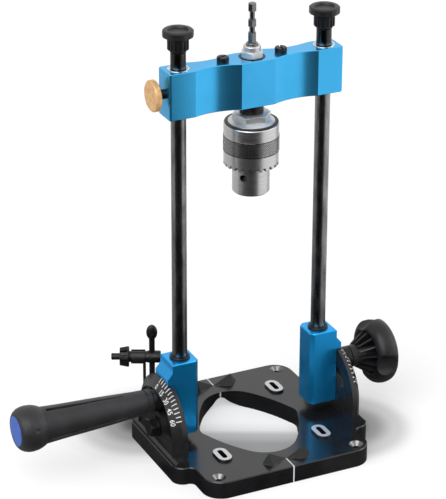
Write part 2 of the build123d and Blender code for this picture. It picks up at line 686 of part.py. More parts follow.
def make_lock_nut():
    """Hexagonal lock nut with a round collar, on the upper bearing."""
    z0 = BAR_Z1 + GAP
    hexa = hexagon(NUT_AF, z0, z0 + NUT_HEX_H, 4.3)
    hexa &= turned([
        (0, z0), (9.0, z0), (9.9, z0 + 0.8), (9.9, z0 + NUT_HEX_H - 1.2), (8.0, z0 + NUT_HEX_H),
        (0, z0 + NUT_HEX_H),
    ])
    collar_top = z0 + NUT_HEX_H + NUT_COLLAR_H
    collar = rod(NUT_COLLAR_D / 2, z0 + NUT_HEX_H, collar_top)
    collar = fillet(collar.faces().sort_by(Axis.Z)[-1].edges(), 1.0)
    return hexa + collar - rod(BEARING_ID / 2, z0 - 1, collar_top + 1)


def make_spacer():
    """Dark spacer between the lower bearing and the flanged nut."""
    top = BAR_Z0 - GAP
    ring = rod(SPACER_D / 2, FLANGE_NUT_TOP_Z, top)
    ring = chamfer(ring.edges().filter_by(GeomType.CIRCLE), 0.6)
    return ring - rod(BEARING_ID / 2, FLANGE_NUT_TOP_Z - 1, top + 1)


def make_flange_nut():
    """Hexagonal nut with a coned flange, above the chuck."""
    z0 = CHUCK_TOP_Z
    flange_r = FLANGE_D / 2
    cone = turned([(0, z0), (flange_r, z0), (flange_r, z0 + 0.6), (16.0, z0 + 2.6), (0, z0 + 2.6)])
    hexa = hexagon(FLANGE_NUT_AF, z0 + 2.0, FLANGE_NUT_TOP_Z, -11.4)
    hexa &= turned([
        (0, z0), (17, z0), (17, FLANGE_NUT_TOP_Z - 1.6), (13.8, FLANGE_NUT_TOP_Z), (0, FLANGE_NUT_TOP_Z),
    ])
    return cone + hexa - rod(CHUCK_THREAD_D / 2, z0 - 1, FLANGE_NUT_TOP_Z + 1)


# Chuck

def jaw_axis_r(z):
    """Distance of a jaw's own axis from the chuck's axis at a height."""
    return JAW_NOSE_R + (z - CHUCK_NOSE_Z) * tan(radians(JAW_TILT))


def jaw_cylinder(radius, z0, z1):
    """A slanted cylinder on a jaw's axis in the XZ plane, cut level at z0 and z1."""
    mid = (z0 + z1) / 2
    length = (z1 - z0) * 1.4
    lean = Pos(jaw_axis_r(mid), 0, mid) * Rot(0, JAW_TILT, 0) * Cylinder(radius, length)
    return lean & block(-40, 40, -40, 40, z0, z1)


def make_jaw():
    """Jaw on +X, open: gripping face, flanks at 120 degrees and a flat rack side."""
    jaw = jaw_cylinder(JAW_R, JAW_TIP_Z, JAW_TOP_Z) & rod(JAW_REACH_R, JAW_TIP_Z, JAW_TOP_Z)
    face_x = BIT_D / 2
    reach = 14.0
    flank = make_face(Polyline(
        (face_x, -0.6), (face_x + reach, -0.6 - reach * sqrt(3)), (face_x + reach, 0.6 + reach * sqrt(3)),
        (face_x, 0.6), close=True,
    ))
    jaw &= Pos(0, 0, JAW_TIP_Z - 1) * extrude(flank, JAW_TOP_Z - JAW_TIP_Z + 2)
    mid = (JAW_TIP_Z + JAW_TOP_Z) / 2
    lean = Pos(jaw_axis_r(mid), 0, mid) * Rot(0, JAW_TILT, 0)
    jaw -= lean * block(JAW_RACK, JAW_RACK + JAW_R, -JAW_R, JAW_R, -24, 40)
    for k in range(12):
        start = -3.0 + JAW_PITCH * k
        jaw -= lean * block(JAW_RACK - 0.6, JAW_RACK + 1, -JAW_R, JAW_R, start, start + JAW_PITCH / 2)
    return jaw


def make_chuck_body():
    """Chuck body: nose with key holes, three slanted jaw bores, nut groove and top flange."""
    nose_r = CHUCK_NOSE_D / 2
    mouth_r = BIT_D / 2 + 0.2
    groove_z0, groove_z1 = SPLIT_NUT_Z0 - GAP, SPLIT_NUT_Z1 + GAP
    flange_z, flange_r = SLEEVE_Z1 + GAP, CHUCK_FLANGE_D / 2
    body = turned([
        (0, CHUCK_NOSE_Z), (nose_r - 1.2, CHUCK_NOSE_Z), (nose_r, CHUCK_NOSE_Z + 1.2), (nose_r, groove_z0),
        (CHUCK_GROOVE_R, groove_z0), (CHUCK_GROOVE_R, groove_z1), (CHUCK_BODY_R, groove_z1),
        (CHUCK_BODY_R, flange_z), (flange_r, flange_z), (flange_r, CHUCK_TOP_Z), (0, CHUCK_TOP_Z),
    ])
    body -= turned([
        (0, CHUCK_NOSE_Z - 1), (mouth_r + 2.2, CHUCK_NOSE_Z - 1), (mouth_r, CHUCK_NOSE_Z + 1.2),
        (mouth_r, CHUCK_CAVITY_Z), (0, CHUCK_CAVITY_Z + 4),
    ])
    body -= rod(CHUCK_THREAD_D / 2, CHUCK_THREAD_Z, CHUCK_TOP_Z + 1)
    bore = jaw_cylinder(JAW_R + RUN, CHUCK_NOSE_Z - 1, JAW_TOP_Z + GAP)
    bore &= rod(JAW_REACH_R + GAP, CHUCK_NOSE_Z - 1, CHUCK_TOP_Z)
    for copy in around(bore, 3, KEY_HOLE_ANGLE + 60):
        body -= copy
    hole = rod_x(KEY_HOLE_D / 2, nose_r - 6.5, nose_r + 2, 0, KEY_HOLE_Z)
    for copy in around(hole, 3, KEY_HOLE_ANGLE):
        body -= copy
    return body


def make_split_nut():
    """Threaded ring in the sleeve that drives the jaws, split in two halves."""
    slope = tan(radians(JAW_TILT))
    lift = JAW_RACK / cos(radians(JAW_TILT)) + 0.5
    r0, r1 = jaw_axis_r(SPLIT_NUT_Z0) + lift, jaw_axis_r(SPLIT_NUT_Z1) + lift
    ring = rod(SLEEVE_CAVITY_R, SPLIT_NUT_Z0, SPLIT_NUT_Z1)
    ring -= turned([
        (0, SPLIT_NUT_Z0 - 1), (r0 - slope, SPLIT_NUT_Z0 - 1), (r1 + slope, SPLIT_NUT_Z1 + 1),
        (0, SPLIT_NUT_Z1 + 1),
    ])
    halves = ring - block(-30, 30, -0.1, 0.1, SPLIT_NUT_Z0 - 1, SPLIT_NUT_Z1 + 1)
    return Compound(children=list(halves.solids()))


def make_sleeve():
    """Toothed sleeve round the chuck body, with a raised grip band."""
    outer = SLEEVE_D / 2
    lip_r = CHUCK_NOSE_D / 2 + GAP
    sleeve = turned([
        (lip_r, SLEEVE_Z0), (outer - 0.8, SLEEVE_Z0), (outer, SLEEVE_Z0 + 0.8), (outer, SLEEVE_BAND_Z0),
        (outer + SLEEVE_BAND_PROUD, SLEEVE_BAND_Z0), (outer + SLEEVE_BAND_PROUD, SLEEVE_BAND_Z1),
        (outer, SLEEVE_BAND_Z1), (outer, SLEEVE_Z1 - 0.6), (outer - 0.6, SLEEVE_Z1),
        (SLEEVE_CAVITY_R, SLEEVE_Z1), (SLEEVE_CAVITY_R, SPLIT_NUT_Z0), (lip_r, SPLIT_NUT_Z0),
    ])
    gap = make_face(Polyline(
        (18.4, -1.9, SLEEVE_Z0 - 1), (18.4, 1.9, SLEEVE_Z0 - 1),
        (18.4, 1.1, SLEEVE_Z0 + SLEEVE_TOOTH_H), (18.4, -1.1, SLEEVE_Z0 + SLEEVE_TOOTH_H), close=True,
    ))
    tooth_gap = extrude(gap, 6, dir=(1, 0, 0))
    for copy in around(tooth_gap, SLEEVE_TEETH, KEY_HOLE_ANGLE + 180 / SLEEVE_TEETH):
        sleeve -= copy
    return sleeve


# Chuck key and its holder

def key_place():
    """The stored key's frame: origin at the crossing of body and bar, -X to the pilot."""
    return Pos(KEY_HOLDER_X, KEY_HOLDER_Y, KEY_AXIS_Z) * Rot(0, 0, KEY_YAW)


def make_key_body():
    """Key body along its own X: pilot, bevel pinion, shank and hub."""
    body = Rot(0, -90, 0) * turned([
        (0, KEY_HUB_END), (KEY_HUB_R - 0.7, KEY_HUB_END), (KEY_HUB_R, KEY_HUB_END + 0.7), (KEY_HUB_R, 3.6),
        (KEY_SHANK_R, 4.8), (KEY_SHANK_R, KEY_PINION_BACK), (0, KEY_PINION_BACK),
    ])
    pinion = turned([
        (0, KEY_PINION_BACK), (8.6, KEY_PINION_BACK), (9.0, KEY_PINION_BACK + 0.8), (7.7, KEY_PINION_FRONT),
        (0, KEY_PINION_FRONT),
    ])
    gap = make_face(Polyline((9.8, -1.2, 0), (9.8, 1.2, 0), (6.4, 0.4, 0), (6.4, -0.4, 0), close=True))
    gap = Pos(0, 0, KEY_PINION_BACK + 1.3) * extrude(gap, 9)
    for copy in around(gap, KEY_PINION_TEETH):
        pinion -= copy
    pilot = turned([
        (0, KEY_PINION_FRONT), (2.9, KEY_PINION_FRONT), (2.9, KEY_TIP - 0.6), (2.3, KEY_TIP), (0, KEY_TIP),
    ])
    body = body + Rot(0, -90, 0) * (pinion + pilot)
    body -= rod(KEY_BAR_R, -12, 12)
    return key_place() * body


def make_key_bar():
    """Key handle: an upright bar with a flattened oval end above and a round end below."""
    paddle = Pos(0, 0, 23.5) * scale(Sphere(5.0), by=(0.96, 0.58, 1.42))
    neck = rod(KEY_BAR_R, KEY_BAR_LOW, 21)
    neck = chamfer(neck.faces().sort_by(Axis.Z)[0].edges(), 0.5)
    return key_place() * (paddle + neck)


def make_key_holder():
    """Moulded holder: foot, socket post for the key's bar and a stem with a sprung clip."""
    foot = extrude(RectangleRounded(24, 12, 4), 3.0)
    post = Cylinder(4.6, 28.0, align=BOTTOM)
    stem_h = KEY_AXIS_Z - BASE_T - KEY_SHANK_R - 0.4
    stem = Pos(-6.6, 0, 0) * Box(2.4, 6.0, stem_h, align=BOTTOM)
    web = block(-6.6, 0, -1.2, 1.2, 0, 26)
    local_axis = KEY_AXIS_Z - BASE_T
    clip = rod_x(KEY_SHANK_R + 1.3, -18.0, -5.8, 0, local_axis)
    clip -= rod_x(KEY_SHANK_R + RUN, -19, 0, 0, local_axis)
    clip -= block(-30, 0, -3.6, 3.6, local_axis + 1.8, local_axis + 9)
    holder = foot + post + stem + web + clip
    holder -= rod(KEY_BAR_R + RUN, KEY_AXIS_Z + KEY_BAR_LOW - BASE_T - 0.2, 40)
    holder -= Pos(8.5, 0, -1) * Cylinder(1.6, 6, align=BOTTOM)
    return Pos(KEY_HOLDER_X, KEY_HOLDER_Y, BASE_T) * Rot(0, 0, KEY_YAW) * holder


def make_key_holder_screw():
    """Pan-head screw that fixes the holder's foot to the base."""
    head = fillet(Cylinder(2.9, 2.0, align=BOTTOM).faces().sort_by(Axis.Z)[-1].edges(), 0.9)
    head -= block(-3.2, 3.2, -0.4, 0.4, 1.2, 3)
    screw = Pos(8.5, 0, 3.0) * head + rod(1.6, -8, 3.0, 8.5)
    return Pos(KEY_HOLDER_X, KEY_HOLDER_Y, BASE_T) * Rot(0, 0, KEY_YAW) * screw


# Assembly

def holder_screw_hole():
    """The tapped hole in the base for the holder's screw."""
    return Pos(KEY_HOLDER_X, KEY_HOLDER_Y, BASE_T) * Rot(0, 0, KEY_YAW) * rod(1.6, -8, 1, 8.5)


def write_base():
    save("base_plate", make_base() - holder_screw_hole())
    sector = make_sector()
    save("sector_right", sector)
    save("sector_left", flip(sector))
    screws = [foot_screw(x, y).solids()[0] for x, y in foot_screw_places()]
    save("sector_screws", Compound(children=screws))
    save("key_holder", make_key_holder())
    save("key_holder_screw", make_key_holder_screw())
    save("chuck_key_body", make_key_body())
    save("chuck_key_bar", make_key_bar())


def write_frame():
    pairs = {
        "post_block": make_post_block(), "post": make_post(), "post_ring": make_post_ring(),
        "post_grub_screw": make_grub_screw(), "pivot_bolt": make_pivot_bolt(),
        "pivot_washer": make_pivot_washer(), "post_knob": make_post_knob(),
        "post_knob_stud": make_post_knob_stud(),
    }
    for name, part in pairs.items():
        save(f"{name}_right", part)
        save(f"{name}_left", flip(part))


def write_clamps():
    save("star_collar", make_clamp_collar(STAR_COLLAR_OUT_X))
    save("handle_collar", flip(make_clamp_collar(COLLAR_OUT_X)))
    inner_end = BLOCK_IN_X + 4
    save("star_knob_stud", clamp_screw(inner_end, STAR_IN_X + STAR_STUD_DEPTH))
    save("handle_stud", clamp_screw(-inner_end, -COLLAR_OUT_X - HANDLE_STUD_GRIP))
    save("star_knob", make_star_knob())
    save("handle_grip", make_grip())
    save("handle_end_cap", make_grip_cap())


def write_carriage():
    save("crossbar", make_bar())
    save("post_bush_right", make_bush(False))
    save("post_bush_left", flip(make_bush(True)))
    save("bar_screws", make_bar_screws())
    save("lock_screw", make_lock_screw())
    lower, upper = BAR_Z0, BAR_Z1 - BEARING_H
    save("bearing_outer_lower", make_bearing_outer(lower))
    save("bearing_outer_upper", make_bearing_outer(upper))
    save("bearing_inner_lower", make_bearing_inner(lower - GAP, lower + BEARING_H))
    save("bearing_inner_upper", make_bearing_inner(upper, upper + BEARING_H + GAP))


def write_spindle():
    save("spindle", make_spindle())
    save("spindle_lock_nut", make_lock_nut())
    save("spindle_spacer", make_spacer())
    save("chuck_flange_nut", make_flange_nut())
    save("chuck_body", make_chuck_body())
    save("chuck_sleeve", make_sleeve())
    save("chuck_split_nut", make_split_nut())
    for k, jaw in enumerate(around(make_jaw(), 3, KEY_HOLE_ANGLE + 60)):
        save(f"chuck_jaw_{k + 1}", jaw)


write_base()
write_frame()
write_clamps()
write_carriage()
write_spindle()
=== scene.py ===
"""The dressed drill guide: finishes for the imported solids, and the fine pieces that they carry.

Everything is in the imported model's frame: +Z up, +X to the star knob, -Y to the front.
Lengths are in metres, but the side handle's and the star knob's own sizes are in millimetres.
"""

from math import cos, hypot, pi, radians, sin, sqrt, tau

import bmesh
import bpy
from mathutils import Matrix, Vector

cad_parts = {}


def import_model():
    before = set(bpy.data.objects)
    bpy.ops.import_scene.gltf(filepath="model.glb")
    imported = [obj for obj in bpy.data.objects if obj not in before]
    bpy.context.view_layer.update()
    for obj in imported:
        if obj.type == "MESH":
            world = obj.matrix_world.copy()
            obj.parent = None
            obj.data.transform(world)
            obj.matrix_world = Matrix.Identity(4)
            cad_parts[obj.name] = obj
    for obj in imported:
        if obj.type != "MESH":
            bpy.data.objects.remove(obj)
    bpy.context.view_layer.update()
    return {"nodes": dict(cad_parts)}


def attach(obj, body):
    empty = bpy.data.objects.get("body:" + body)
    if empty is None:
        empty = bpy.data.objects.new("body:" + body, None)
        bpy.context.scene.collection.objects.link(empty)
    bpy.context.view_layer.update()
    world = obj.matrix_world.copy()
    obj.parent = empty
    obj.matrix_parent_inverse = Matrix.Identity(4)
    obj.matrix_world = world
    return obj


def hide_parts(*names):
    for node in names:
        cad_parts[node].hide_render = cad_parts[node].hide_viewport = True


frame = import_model()
nodes = frame["nodes"]
MM = 0.001

# The photograph's camera

CAMERA_AT = Vector((-0.8138, -1.6386, 1.0381))
CAMERA_AZIMUTH = radians(-25.697)
CAMERA_ELEVATION = radians(25.161)
CAMERA_ROLL = radians(0.176)
CAMERA_LENS_MM = 174.74
CAMERA_SENSOR_MM = 36.0
CAMERA_REACH = 50.0

# Heights that several pieces share

PIVOT_Z = 31.6 * MM
CLAMP_Z = 56.7 * MM
BASE_TOP = 15.4 * MM


# Materials

# The part of a noise value's range that is spread over a change of tone, and of roughness
TONE_SPAN = (0.35, 0.65)
ROUGH_SPAN = (0.3, 0.7)
NOISE_ROUGHNESS = 0.55
POST_DARK_Z = 352.0 * MM
POST_DARK_BLEND = 2 * MM
POST_DARK_SHARE = 0.2


def node(owner, kind, operation=None, **values):
    """A new node in the tree of a material or of the world, with its constant inputs by name."""
    made = owner.node_tree.nodes.new(kind)
    if operation:
        made.operation = operation
    for key, value in values.items():
        made.inputs[key.replace("_", " ")].default_value = value
    return made


def wire(owner, source, target):
    """A link from an output to an input."""
    owner.node_tree.links.new(source, target)


def shader_of(mat):
    """The Principled shader of a material."""
    return mat.node_tree.nodes["Principled BSDF"]


def surface(name, colour, rough, metal=0.0, **extra):
    """A material with a Principled shader, and its constant values on the shader's own sockets."""
    mat = bpy.data.materials.new(name)
    mat.use_nodes = True
    shader = shader_of(mat)
    shader.inputs["Base Color"].default_value = (*colour, 1.0)
    shader.inputs["Roughness"].default_value = rough
    shader.inputs["Metallic"].default_value = metal
    for socket, value in extra.items():
        shader.inputs[socket.replace("_", " ")].default_value = value
    return mat


def noise(mat, scale, stretch=(1, 1, 1), detail=4.0):
    """Noise in the piece's own space, in features per metre, stretched along an axis if asked."""
    place = node(mat, "ShaderNodeTexCoord")
    mapping = node(mat, "ShaderNodeMapping", Scale=stretch)
    wire(mat, place.outputs["Object"], mapping.inputs["Vector"])
    made = node(mat, "ShaderNodeTexNoise", Scale=scale, Detail=detail, Roughness=NOISE_ROUGHNESS)
    wire(mat, mapping.outputs["Vector"], made.inputs["Vector"])
    return made.outputs["Fac"]


def ramp(owner, source, stops, interpolation="LINEAR"):
    """A colour ramp over a value, from stops of a position and a colour."""
    made = node(owner, "ShaderNodeValToRGB")
    made.color_ramp.interpolation = interpolation
    elements = made.color_ramp.elements
    while len(elements) < len(stops):
        elements.new(0.5)
    for element, (at, colour) in zip(elements, stops):
        element.position = at
        element.color = (*colour, 1.0)
    wire(owner, source, made.inputs["Fac"])
    return made.outputs["Color"]


def grey_ramp(owner, source, stops):
    """A softly eased grey ramp over a value, from stops of a position and a tone."""
    return ramp(owner, source, [(at, (tone,) * 3) for at, tone in stops], "EASE")


def mottle(mat, source, dark, light):
    """Base colour that wanders between two tones."""
    low, high = TONE_SPAN
    tone = ramp(mat, source, [(low, dark), (high, light)])
    wire(mat, tone, shader_of(mat).inputs["Base Color"])


def vary_rough(mat, source, low, high):
    """Roughness that wanders between two values."""
    start, end = ROUGH_SPAN
    spread = node(mat, "ShaderNodeMapRange", From_Min=start, From_Max=end, To_Min=low, To_Max=high)
    wire(mat, source, spread.inputs["Value"])
    wire(mat, spread.outputs["Result"], shader_of(mat).inputs["Roughness"])


def relief(mat, source, depth):
    """Bump of a real depth in metres."""
    made = node(mat, "ShaderNodeBump", Distance=depth, Strength=1.0)
    wire(mat, source, made.inputs["Height"])
    wire(mat, made.outputs["Normal"], shader_of(mat).inputs["Normal"])


def darker_above(mat, level, blend, share):
    """Scales the base colour down above a height, over a short blend."""
    base = shader_of(mat).inputs["Base Color"]
    height = node(mat, "ShaderNodeSeparateXYZ")
    wire(mat, node(mat, "ShaderNodeTexCoord").outputs["Object"], height.inputs["Vector"])
    step = node(mat, "ShaderNodeMapRange", From_Min=level - blend, From_Max=level + blend,
                To_Min=1.0, To_Max=share)
    wire(mat, height.outputs["Z"], step.inputs["Value"])
    scaled = node(mat, "ShaderNodeVectorMath", "SCALE")
    wire(mat, base.links[0].from_socket, scaled.inputs[0])
    wire(mat, step.outputs["Result"], scaled.inputs["Scale"])
    wire(mat, scaled.outputs["Vector"], base)


def cast_paint():
    """Glossy black paint over a fine machined plate."""
    mat = surface("cast_paint", (0.008, 0.0082, 0.009), 0.2)
    mottle(mat, noise(mat, 60), (0.006, 0.0062, 0.007), (0.010, 0.0102, 0.011))
    vary_rough(mat, noise(mat, 240), 0.17, 0.25)
    relief(mat, noise(mat, 1800, detail=2.0), 0.02 * MM)
    return mat


def wedge_paint():
    """The base's paint made darker and less glossy on the wedges: painted shade that turns their
    faces black.
    """
    mat = surface("wedge_paint", (0.004, 0.004, 0.0045), 0.25, Specular_IOR_Level=0.15)
    mottle(mat, noise(mat, 80), (0.003, 0.003, 0.0034), (0.005, 0.005, 0.0056))
    return mat


def scale_paint():
    """The sector plates' paint, a little softer than the base's."""
    mat = surface("scale_paint", (0.009, 0.009, 0.01), 0.3)
    mottle(mat, noise(mat, 90), (0.007, 0.007, 0.008), (0.012, 0.012, 0.013))
    vary_rough(mat, noise(mat, 300), 0.26, 0.36)
    relief(mat, noise(mat, 2200, detail=2.0), 0.03 * MM)
    return mat


def bare_face():
    """Milled bright aluminium with fine tool lines."""
    mat = surface("bare_face", (0.6, 0.6, 0.61), 0.45, 0.55)
    mottle(mat, noise(mat, 700, (1, 12, 1)), (0.52, 0.52, 0.53), (0.66, 0.66, 0.67))
    relief(mat, noise(mat, 900, (1, 14, 1)), 0.02 * MM)
    return mat


def blue_anodised(name, colour, metal):
    """Fine blasted aluminium with a deep blue dye under a clear layer."""
    mat = surface(name, colour, 0.22, metal)
    mottle(mat, noise(mat, 35), [c * 0.96 for c in colour], [c * 1.04 for c in colour])
    vary_rough(mat, noise(mat, 500), 0.2, 0.25)
    return mat


def post_steel():
    """Dark drawn steel tube with faint mottling and streaks along it."""
    mat = surface("post_steel", (0.22, 0.217, 0.22), 0.24, 1.0)
    mottle(mat, noise(mat, 170, (1, 1, 0.25)), (0.15, 0.147, 0.15), (0.3, 0.297, 0.3))
    darker_above(mat, POST_DARK_Z, POST_DARK_BLEND, POST_DARK_SHARE)
    vary_rough(mat, noise(mat, 260, (1, 1, 0.3)), 0.18, 0.32)
    relief(mat, noise(mat, 900, (1, 1, 0.1)), 0.02 * MM)
    return mat


def turned_steel(name, tone, rough):
    """Turned steel: fine rings round the vertical axis."""
    mat = surface(name, (tone,) * 3, rough, 1.0)
    rings = noise(mat, 300, (0.3, 0.3, 16), detail=3.0)
    mottle(mat, rings, (tone * 0.82,) * 3, (tone * 1.08,) * 3)
    vary_rough(mat, noise(mat, 400, (0.2, 0.2, 8)), rough - 0.05, rough + 0.07)
    relief(mat, rings, 0.01 * MM)
    return mat


def satin_steel():
    """Zinc plated steel with a satin sheen."""
    mat = surface("satin_steel", (0.62, 0.62, 0.63), 0.42, 0.9)
    mottle(mat, noise(mat, 120), (0.58, 0.58, 0.59), (0.66, 0.66, 0.67))
    vary_rough(mat, noise(mat, 500), 0.38, 0.46)
    return mat


def black_oxide(name, tone, metal):
    """Blackened steel with a dull sheen."""
    mat = surface(name, (tone,) * 3, 0.36, metal)
    mottle(mat, noise(mat, 260), (tone * 0.7,) * 3, (tone * 1.6,) * 3)
    vary_rough(mat, noise(mat, 600), 0.28, 0.46)
    relief(mat, noise(mat, 2500), 0.01 * MM)
    return mat


def moulded_black():
    """Hard moulded plastic with a spark-eroded grain."""
    mat = surface("moulded_black", (0.0075, 0.0075, 0.009), 0.38, Specular_IOR_Level=0.36)
    mottle(mat, noise(mat, 120), (0.006, 0.006, 0.007), (0.010, 0.010, 0.0115))
    vary_rough(mat, noise(mat, 700), 0.34, 0.46)
    relief(mat, noise(mat, 3200, detail=2.0), 0.04 * MM)
    return mat


def grip_rubber():
    """Soft matte rubber with a dusty sheen."""
    mat = surface("grip_rubber", (0.009, 0.009, 0.0105), 0.48, Sheen_Weight=0.04, Sheen_Roughness=0.5)
    mottle(mat, noise(mat, 70), (0.007, 0.007, 0.0085), (0.013, 0.013, 0.015))
    vary_rough(mat, noise(mat, 400), 0.44, 0.58)
    relief(mat, noise(mat, 2800, detail=3.0), 0.05 * MM)
    return mat


def cap_blue():
    """Blue moulded inlay."""
    mat = surface("cap_blue", (0.03, 0.09, 0.38), 0.35)
    mottle(mat, noise(mat, 200), (0.026, 0.08, 0.34), (0.04, 0.115, 0.45))
    relief(mat, noise(mat, 2400), 0.02 * MM)
    return mat


def lock_brass():
    """Cast brass knob with a matte, slightly granular face."""
    mat = surface("lock_brass", (0.62, 0.38, 0.17), 0.5, 0.45)
    mottle(mat, noise(mat, 420), (0.55, 0.31, 0.13), (0.7, 0.46, 0.22))
    vary_rough(mat, noise(mat, 800), 0.42, 0.58)
    relief(mat, noise(mat, 1500), 0.05 * MM)
    return mat


def mark_white():
    """White marking paint."""
    mat = surface("mark_white", (0.62, 0.62, 0.61), 0.5)
    mottle(mat, noise(mat, 900), (0.54, 0.54, 0.53), (0.7, 0.7, 0.69))
    return mat


PAINT = cast_paint()
WEDGE = wedge_paint()
SCALE = scale_paint()
BARE = bare_face()
BLUE = blue_anodised("blue_anodised", (0.055, 0.43, 0.8), 0.92)
BLOCK_BLUE = blue_anodised("block_blue", (0.016, 0.38, 0.86), 0.84)
POST = post_steel()
CHUCK = turned_steel("chuck_steel", 0.64, 0.31)
BRIGHT = turned_steel("bright_steel", 0.75, 0.14)
SATIN = satin_steel()
SHANK = turned_steel("shank_steel", 0.2, 0.22)
OXIDE = black_oxide("black_oxide", 0.016, 0.7)
CHARCOAL = black_oxide("knurl_steel", 0.013, 1.0)
MOULDED = moulded_black()
RUBBER = grip_rubber()
CAP = cap_blue()
BRASS = lock_brass()
WHITE = mark_white()


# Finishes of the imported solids

FINISHES = {
    PAINT: ["base_plate"],
    SCALE: ["sector_left", "sector_right"],
    BLUE: ["crossbar"],
    BLOCK_BLUE: ["post_block_left", "post_block_right"],
    POST: ["post_left", "post_right"],
    CHUCK: ["chuck_body", "chuck_sleeve"],
    CHARCOAL: ["chuck_jaw_1", "chuck_jaw_2", "chuck_jaw_3", "chuck_split_nut"],
    SATIN: ["chuck_flange_nut", "spindle_lock_nut"],
    BRIGHT: ["post_bush_left", "post_bush_right", "sector_screws",
             "handle_stud", "star_knob_stud", "post_knob_stud_left", "post_knob_stud_right"],
    SHANK: ["spindle"],
    OXIDE: ["post_ring_left", "post_ring_right", "post_grub_screw_left", "post_grub_screw_right",
            "pivot_bolt_left", "pivot_bolt_right", "pivot_washer_left", "pivot_washer_right",
            "bar_screws", "spindle_spacer", "chuck_key_body", "chuck_key_bar", "key_holder_screw",
            "handle_collar", "star_collar", "bearing_inner_lower", "bearing_inner_upper",
            "bearing_outer_lower", "bearing_outer_upper"],
    MOULDED: ["key_holder", "post_knob_left", "post_knob_right", "star_knob"],
    RUBBER: ["handle_grip"],
    CAP: ["handle_end_cap"],
    BRASS: ["lock_screw"],
}

# Edges are rounded where faces meet at more than an angle, which is smaller on the crossbar
WELD_GAP = 0.002 * MM
EDGE_WIDTH = 0.25 * MM
EDGE_SEGMENTS = 2
EDGE_ANGLE = radians(40)
OWN_EDGE_ANGLE = {"crossbar": radians(15)}
SHARP_ANGLE = radians(30)

PAD_TOP = 17.4 * MM
PAD_SLACK = 0.1 * MM
PAD_LEAST_X = 35 * MM
CORNER_X = 64.6 * MM
CORNER_Y = 75.0 * MM
SINK_R = 6.1 * MM
WEDGE_FOOT_Z = 15.6 * MM
WEDGE_MOST_X = 23 * MM
CHUCK_FLANGE_Z = 293.9 * MM
CHUCK_NOSE_R = 16.0 * MM
CHUCK_NOSE_LIP = 0.8 * MM
CHUCK_NOSE_TOP = 262.0 * MM
LOCK_THREAD_X = -84.8 * MM

# The upward part of a face's unit normal: a flat has more than FLAT, a slope less than SLOPE_MOST,
# a cone more than CONE_LEAST, and the wall of a jaw bore less than BORE_MOST
FLAT = 0.99
SLOPE_MOST = 0.95
CONE_LEAST = 0.2
BORE_MOST = 0.7


def soften(obj, angle):
    """Merged doubles, rounded edges past an angle, and clean shading."""
    mesh = obj.data
    if "custom_normal" in mesh.attributes:
        mesh.attributes.remove(mesh.attributes["custom_normal"])
    weld = obj.modifiers.new("weld", "WELD")
    weld.merge_threshold = WELD_GAP
    bevel = obj.modifiers.new("soft edges", "BEVEL")
    bevel.width = EDGE_WIDTH
    bevel.segments = EDGE_SEGMENTS
    bevel.limit_method = "ANGLE"
    bevel.angle_limit = angle
    bevel.harden_normals = True
    mesh.shade_smooth()
    mesh.set_sharp_from_angle(angle=SHARP_ANGLE)


def dress_nodes():
    """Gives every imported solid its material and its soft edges."""
    for mat, names in FINISHES.items():
        for name in names:
            obj = nodes[name]
            obj.data.materials.clear()
            obj.data.materials.append(mat)
            soften(obj, OWN_EDGE_ANGLE.get(name, EDGE_ANGLE))


def second_finish(name, mat, chosen):
    """Another material on those faces of a solid that a test picks out."""
    mesh = nodes[name].data
    mesh.materials.append(mat)
    for face in mesh.polygons:
        if chosen(face.center, face.normal):
            face.material_index = len(mesh.materials) - 1


def milled_pad(centre, normal):
    """True on a pad's top."""
    on_top = normal.z > FLAT and abs(centre.z - PAD_TOP) < PAD_SLACK
    return on_top and abs(centre.x) > PAD_LEAST_X


def countersink(centre, normal):
    """True on the cones of the corner screw holes."""
    from_hole = hypot(abs(centre.x) - CORNER_X, abs(centre.y) - CORNER_Y)
    return from_hole < SINK_R and centre.z > BASE_TOP / 2 and CONE_LEAST < normal.z < SLOPE_MOST


def wedge_face(centre, normal):
    """True on the sighting wedges' sloping faces."""
    on_wedge = centre.z > WEDGE_FOOT_Z and abs(centre.x) < WEDGE_MOST_X
    return on_wedge and abs(normal.z) < SLOPE_MOST


def chuck_dark(centre, normal):
    """True on the chuck's top flange and inside its nose."""
    inner = hypot(centre.x, centre.y) < CHUCK_NOSE_R - CHUCK_NOSE_LIP and centre.z < CHUCK_NOSE_TOP
    return centre.z > CHUCK_FLANGE_Z or (inner and abs(normal.z) < BORE_MOST)


def lock_thread(centre, normal):
    """True on the lock screw's thread, beyond its knob."""
    return centre.x > LOCK_THREAD_X


def second_finishes():
    """The base's bare pads, steel countersinks and wedges in painted shade, and two dark steel parts.
    """
    second_finish("base_plate", BARE, milled_pad)
    second_finish("base_plate", SHANK, countersink)
    # painted shade: the wedges' sloping faces get a darker, less glossy copy of the base's paint
    second_finish("base_plate", WEDGE, wedge_face)
    second_finish("chuck_body", OXIDE, chuck_dark)
    second_finish("lock_screw", OXIDE, lock_thread)


# Mesh building

DOUBLES_GAP = 0.001 * MM


def piece(name, points, faces, body, mat):
    """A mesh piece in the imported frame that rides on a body."""
    mesh = bpy.data.meshes.new(name)
    mesh.from_pydata([tuple(p) for p in points], [], faces)
    mesh.update()
    mesh.materials.append(mat)
    obj = bpy.data.objects.new(name, mesh)
    bpy.context.scene.collection.objects.link(obj)
    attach(obj, body)
    return obj


def tidy_mesh(obj, sharp_angle=40):
    """Outward normals, welded doubles, and smooth faces with sharp edges past an angle in degrees."""
    work = bmesh.new()
    work.from_mesh(obj.data)
    bmesh.ops.remove_doubles(work, verts=work.verts, dist=DOUBLES_GAP)
    bmesh.ops.recalc_face_normals(work, faces=work.faces)
    work.to_mesh(obj.data)
    work.free()
    obj.data.shade_smooth()
    obj.data.set_sharp_from_angle(angle=radians(sharp_angle))


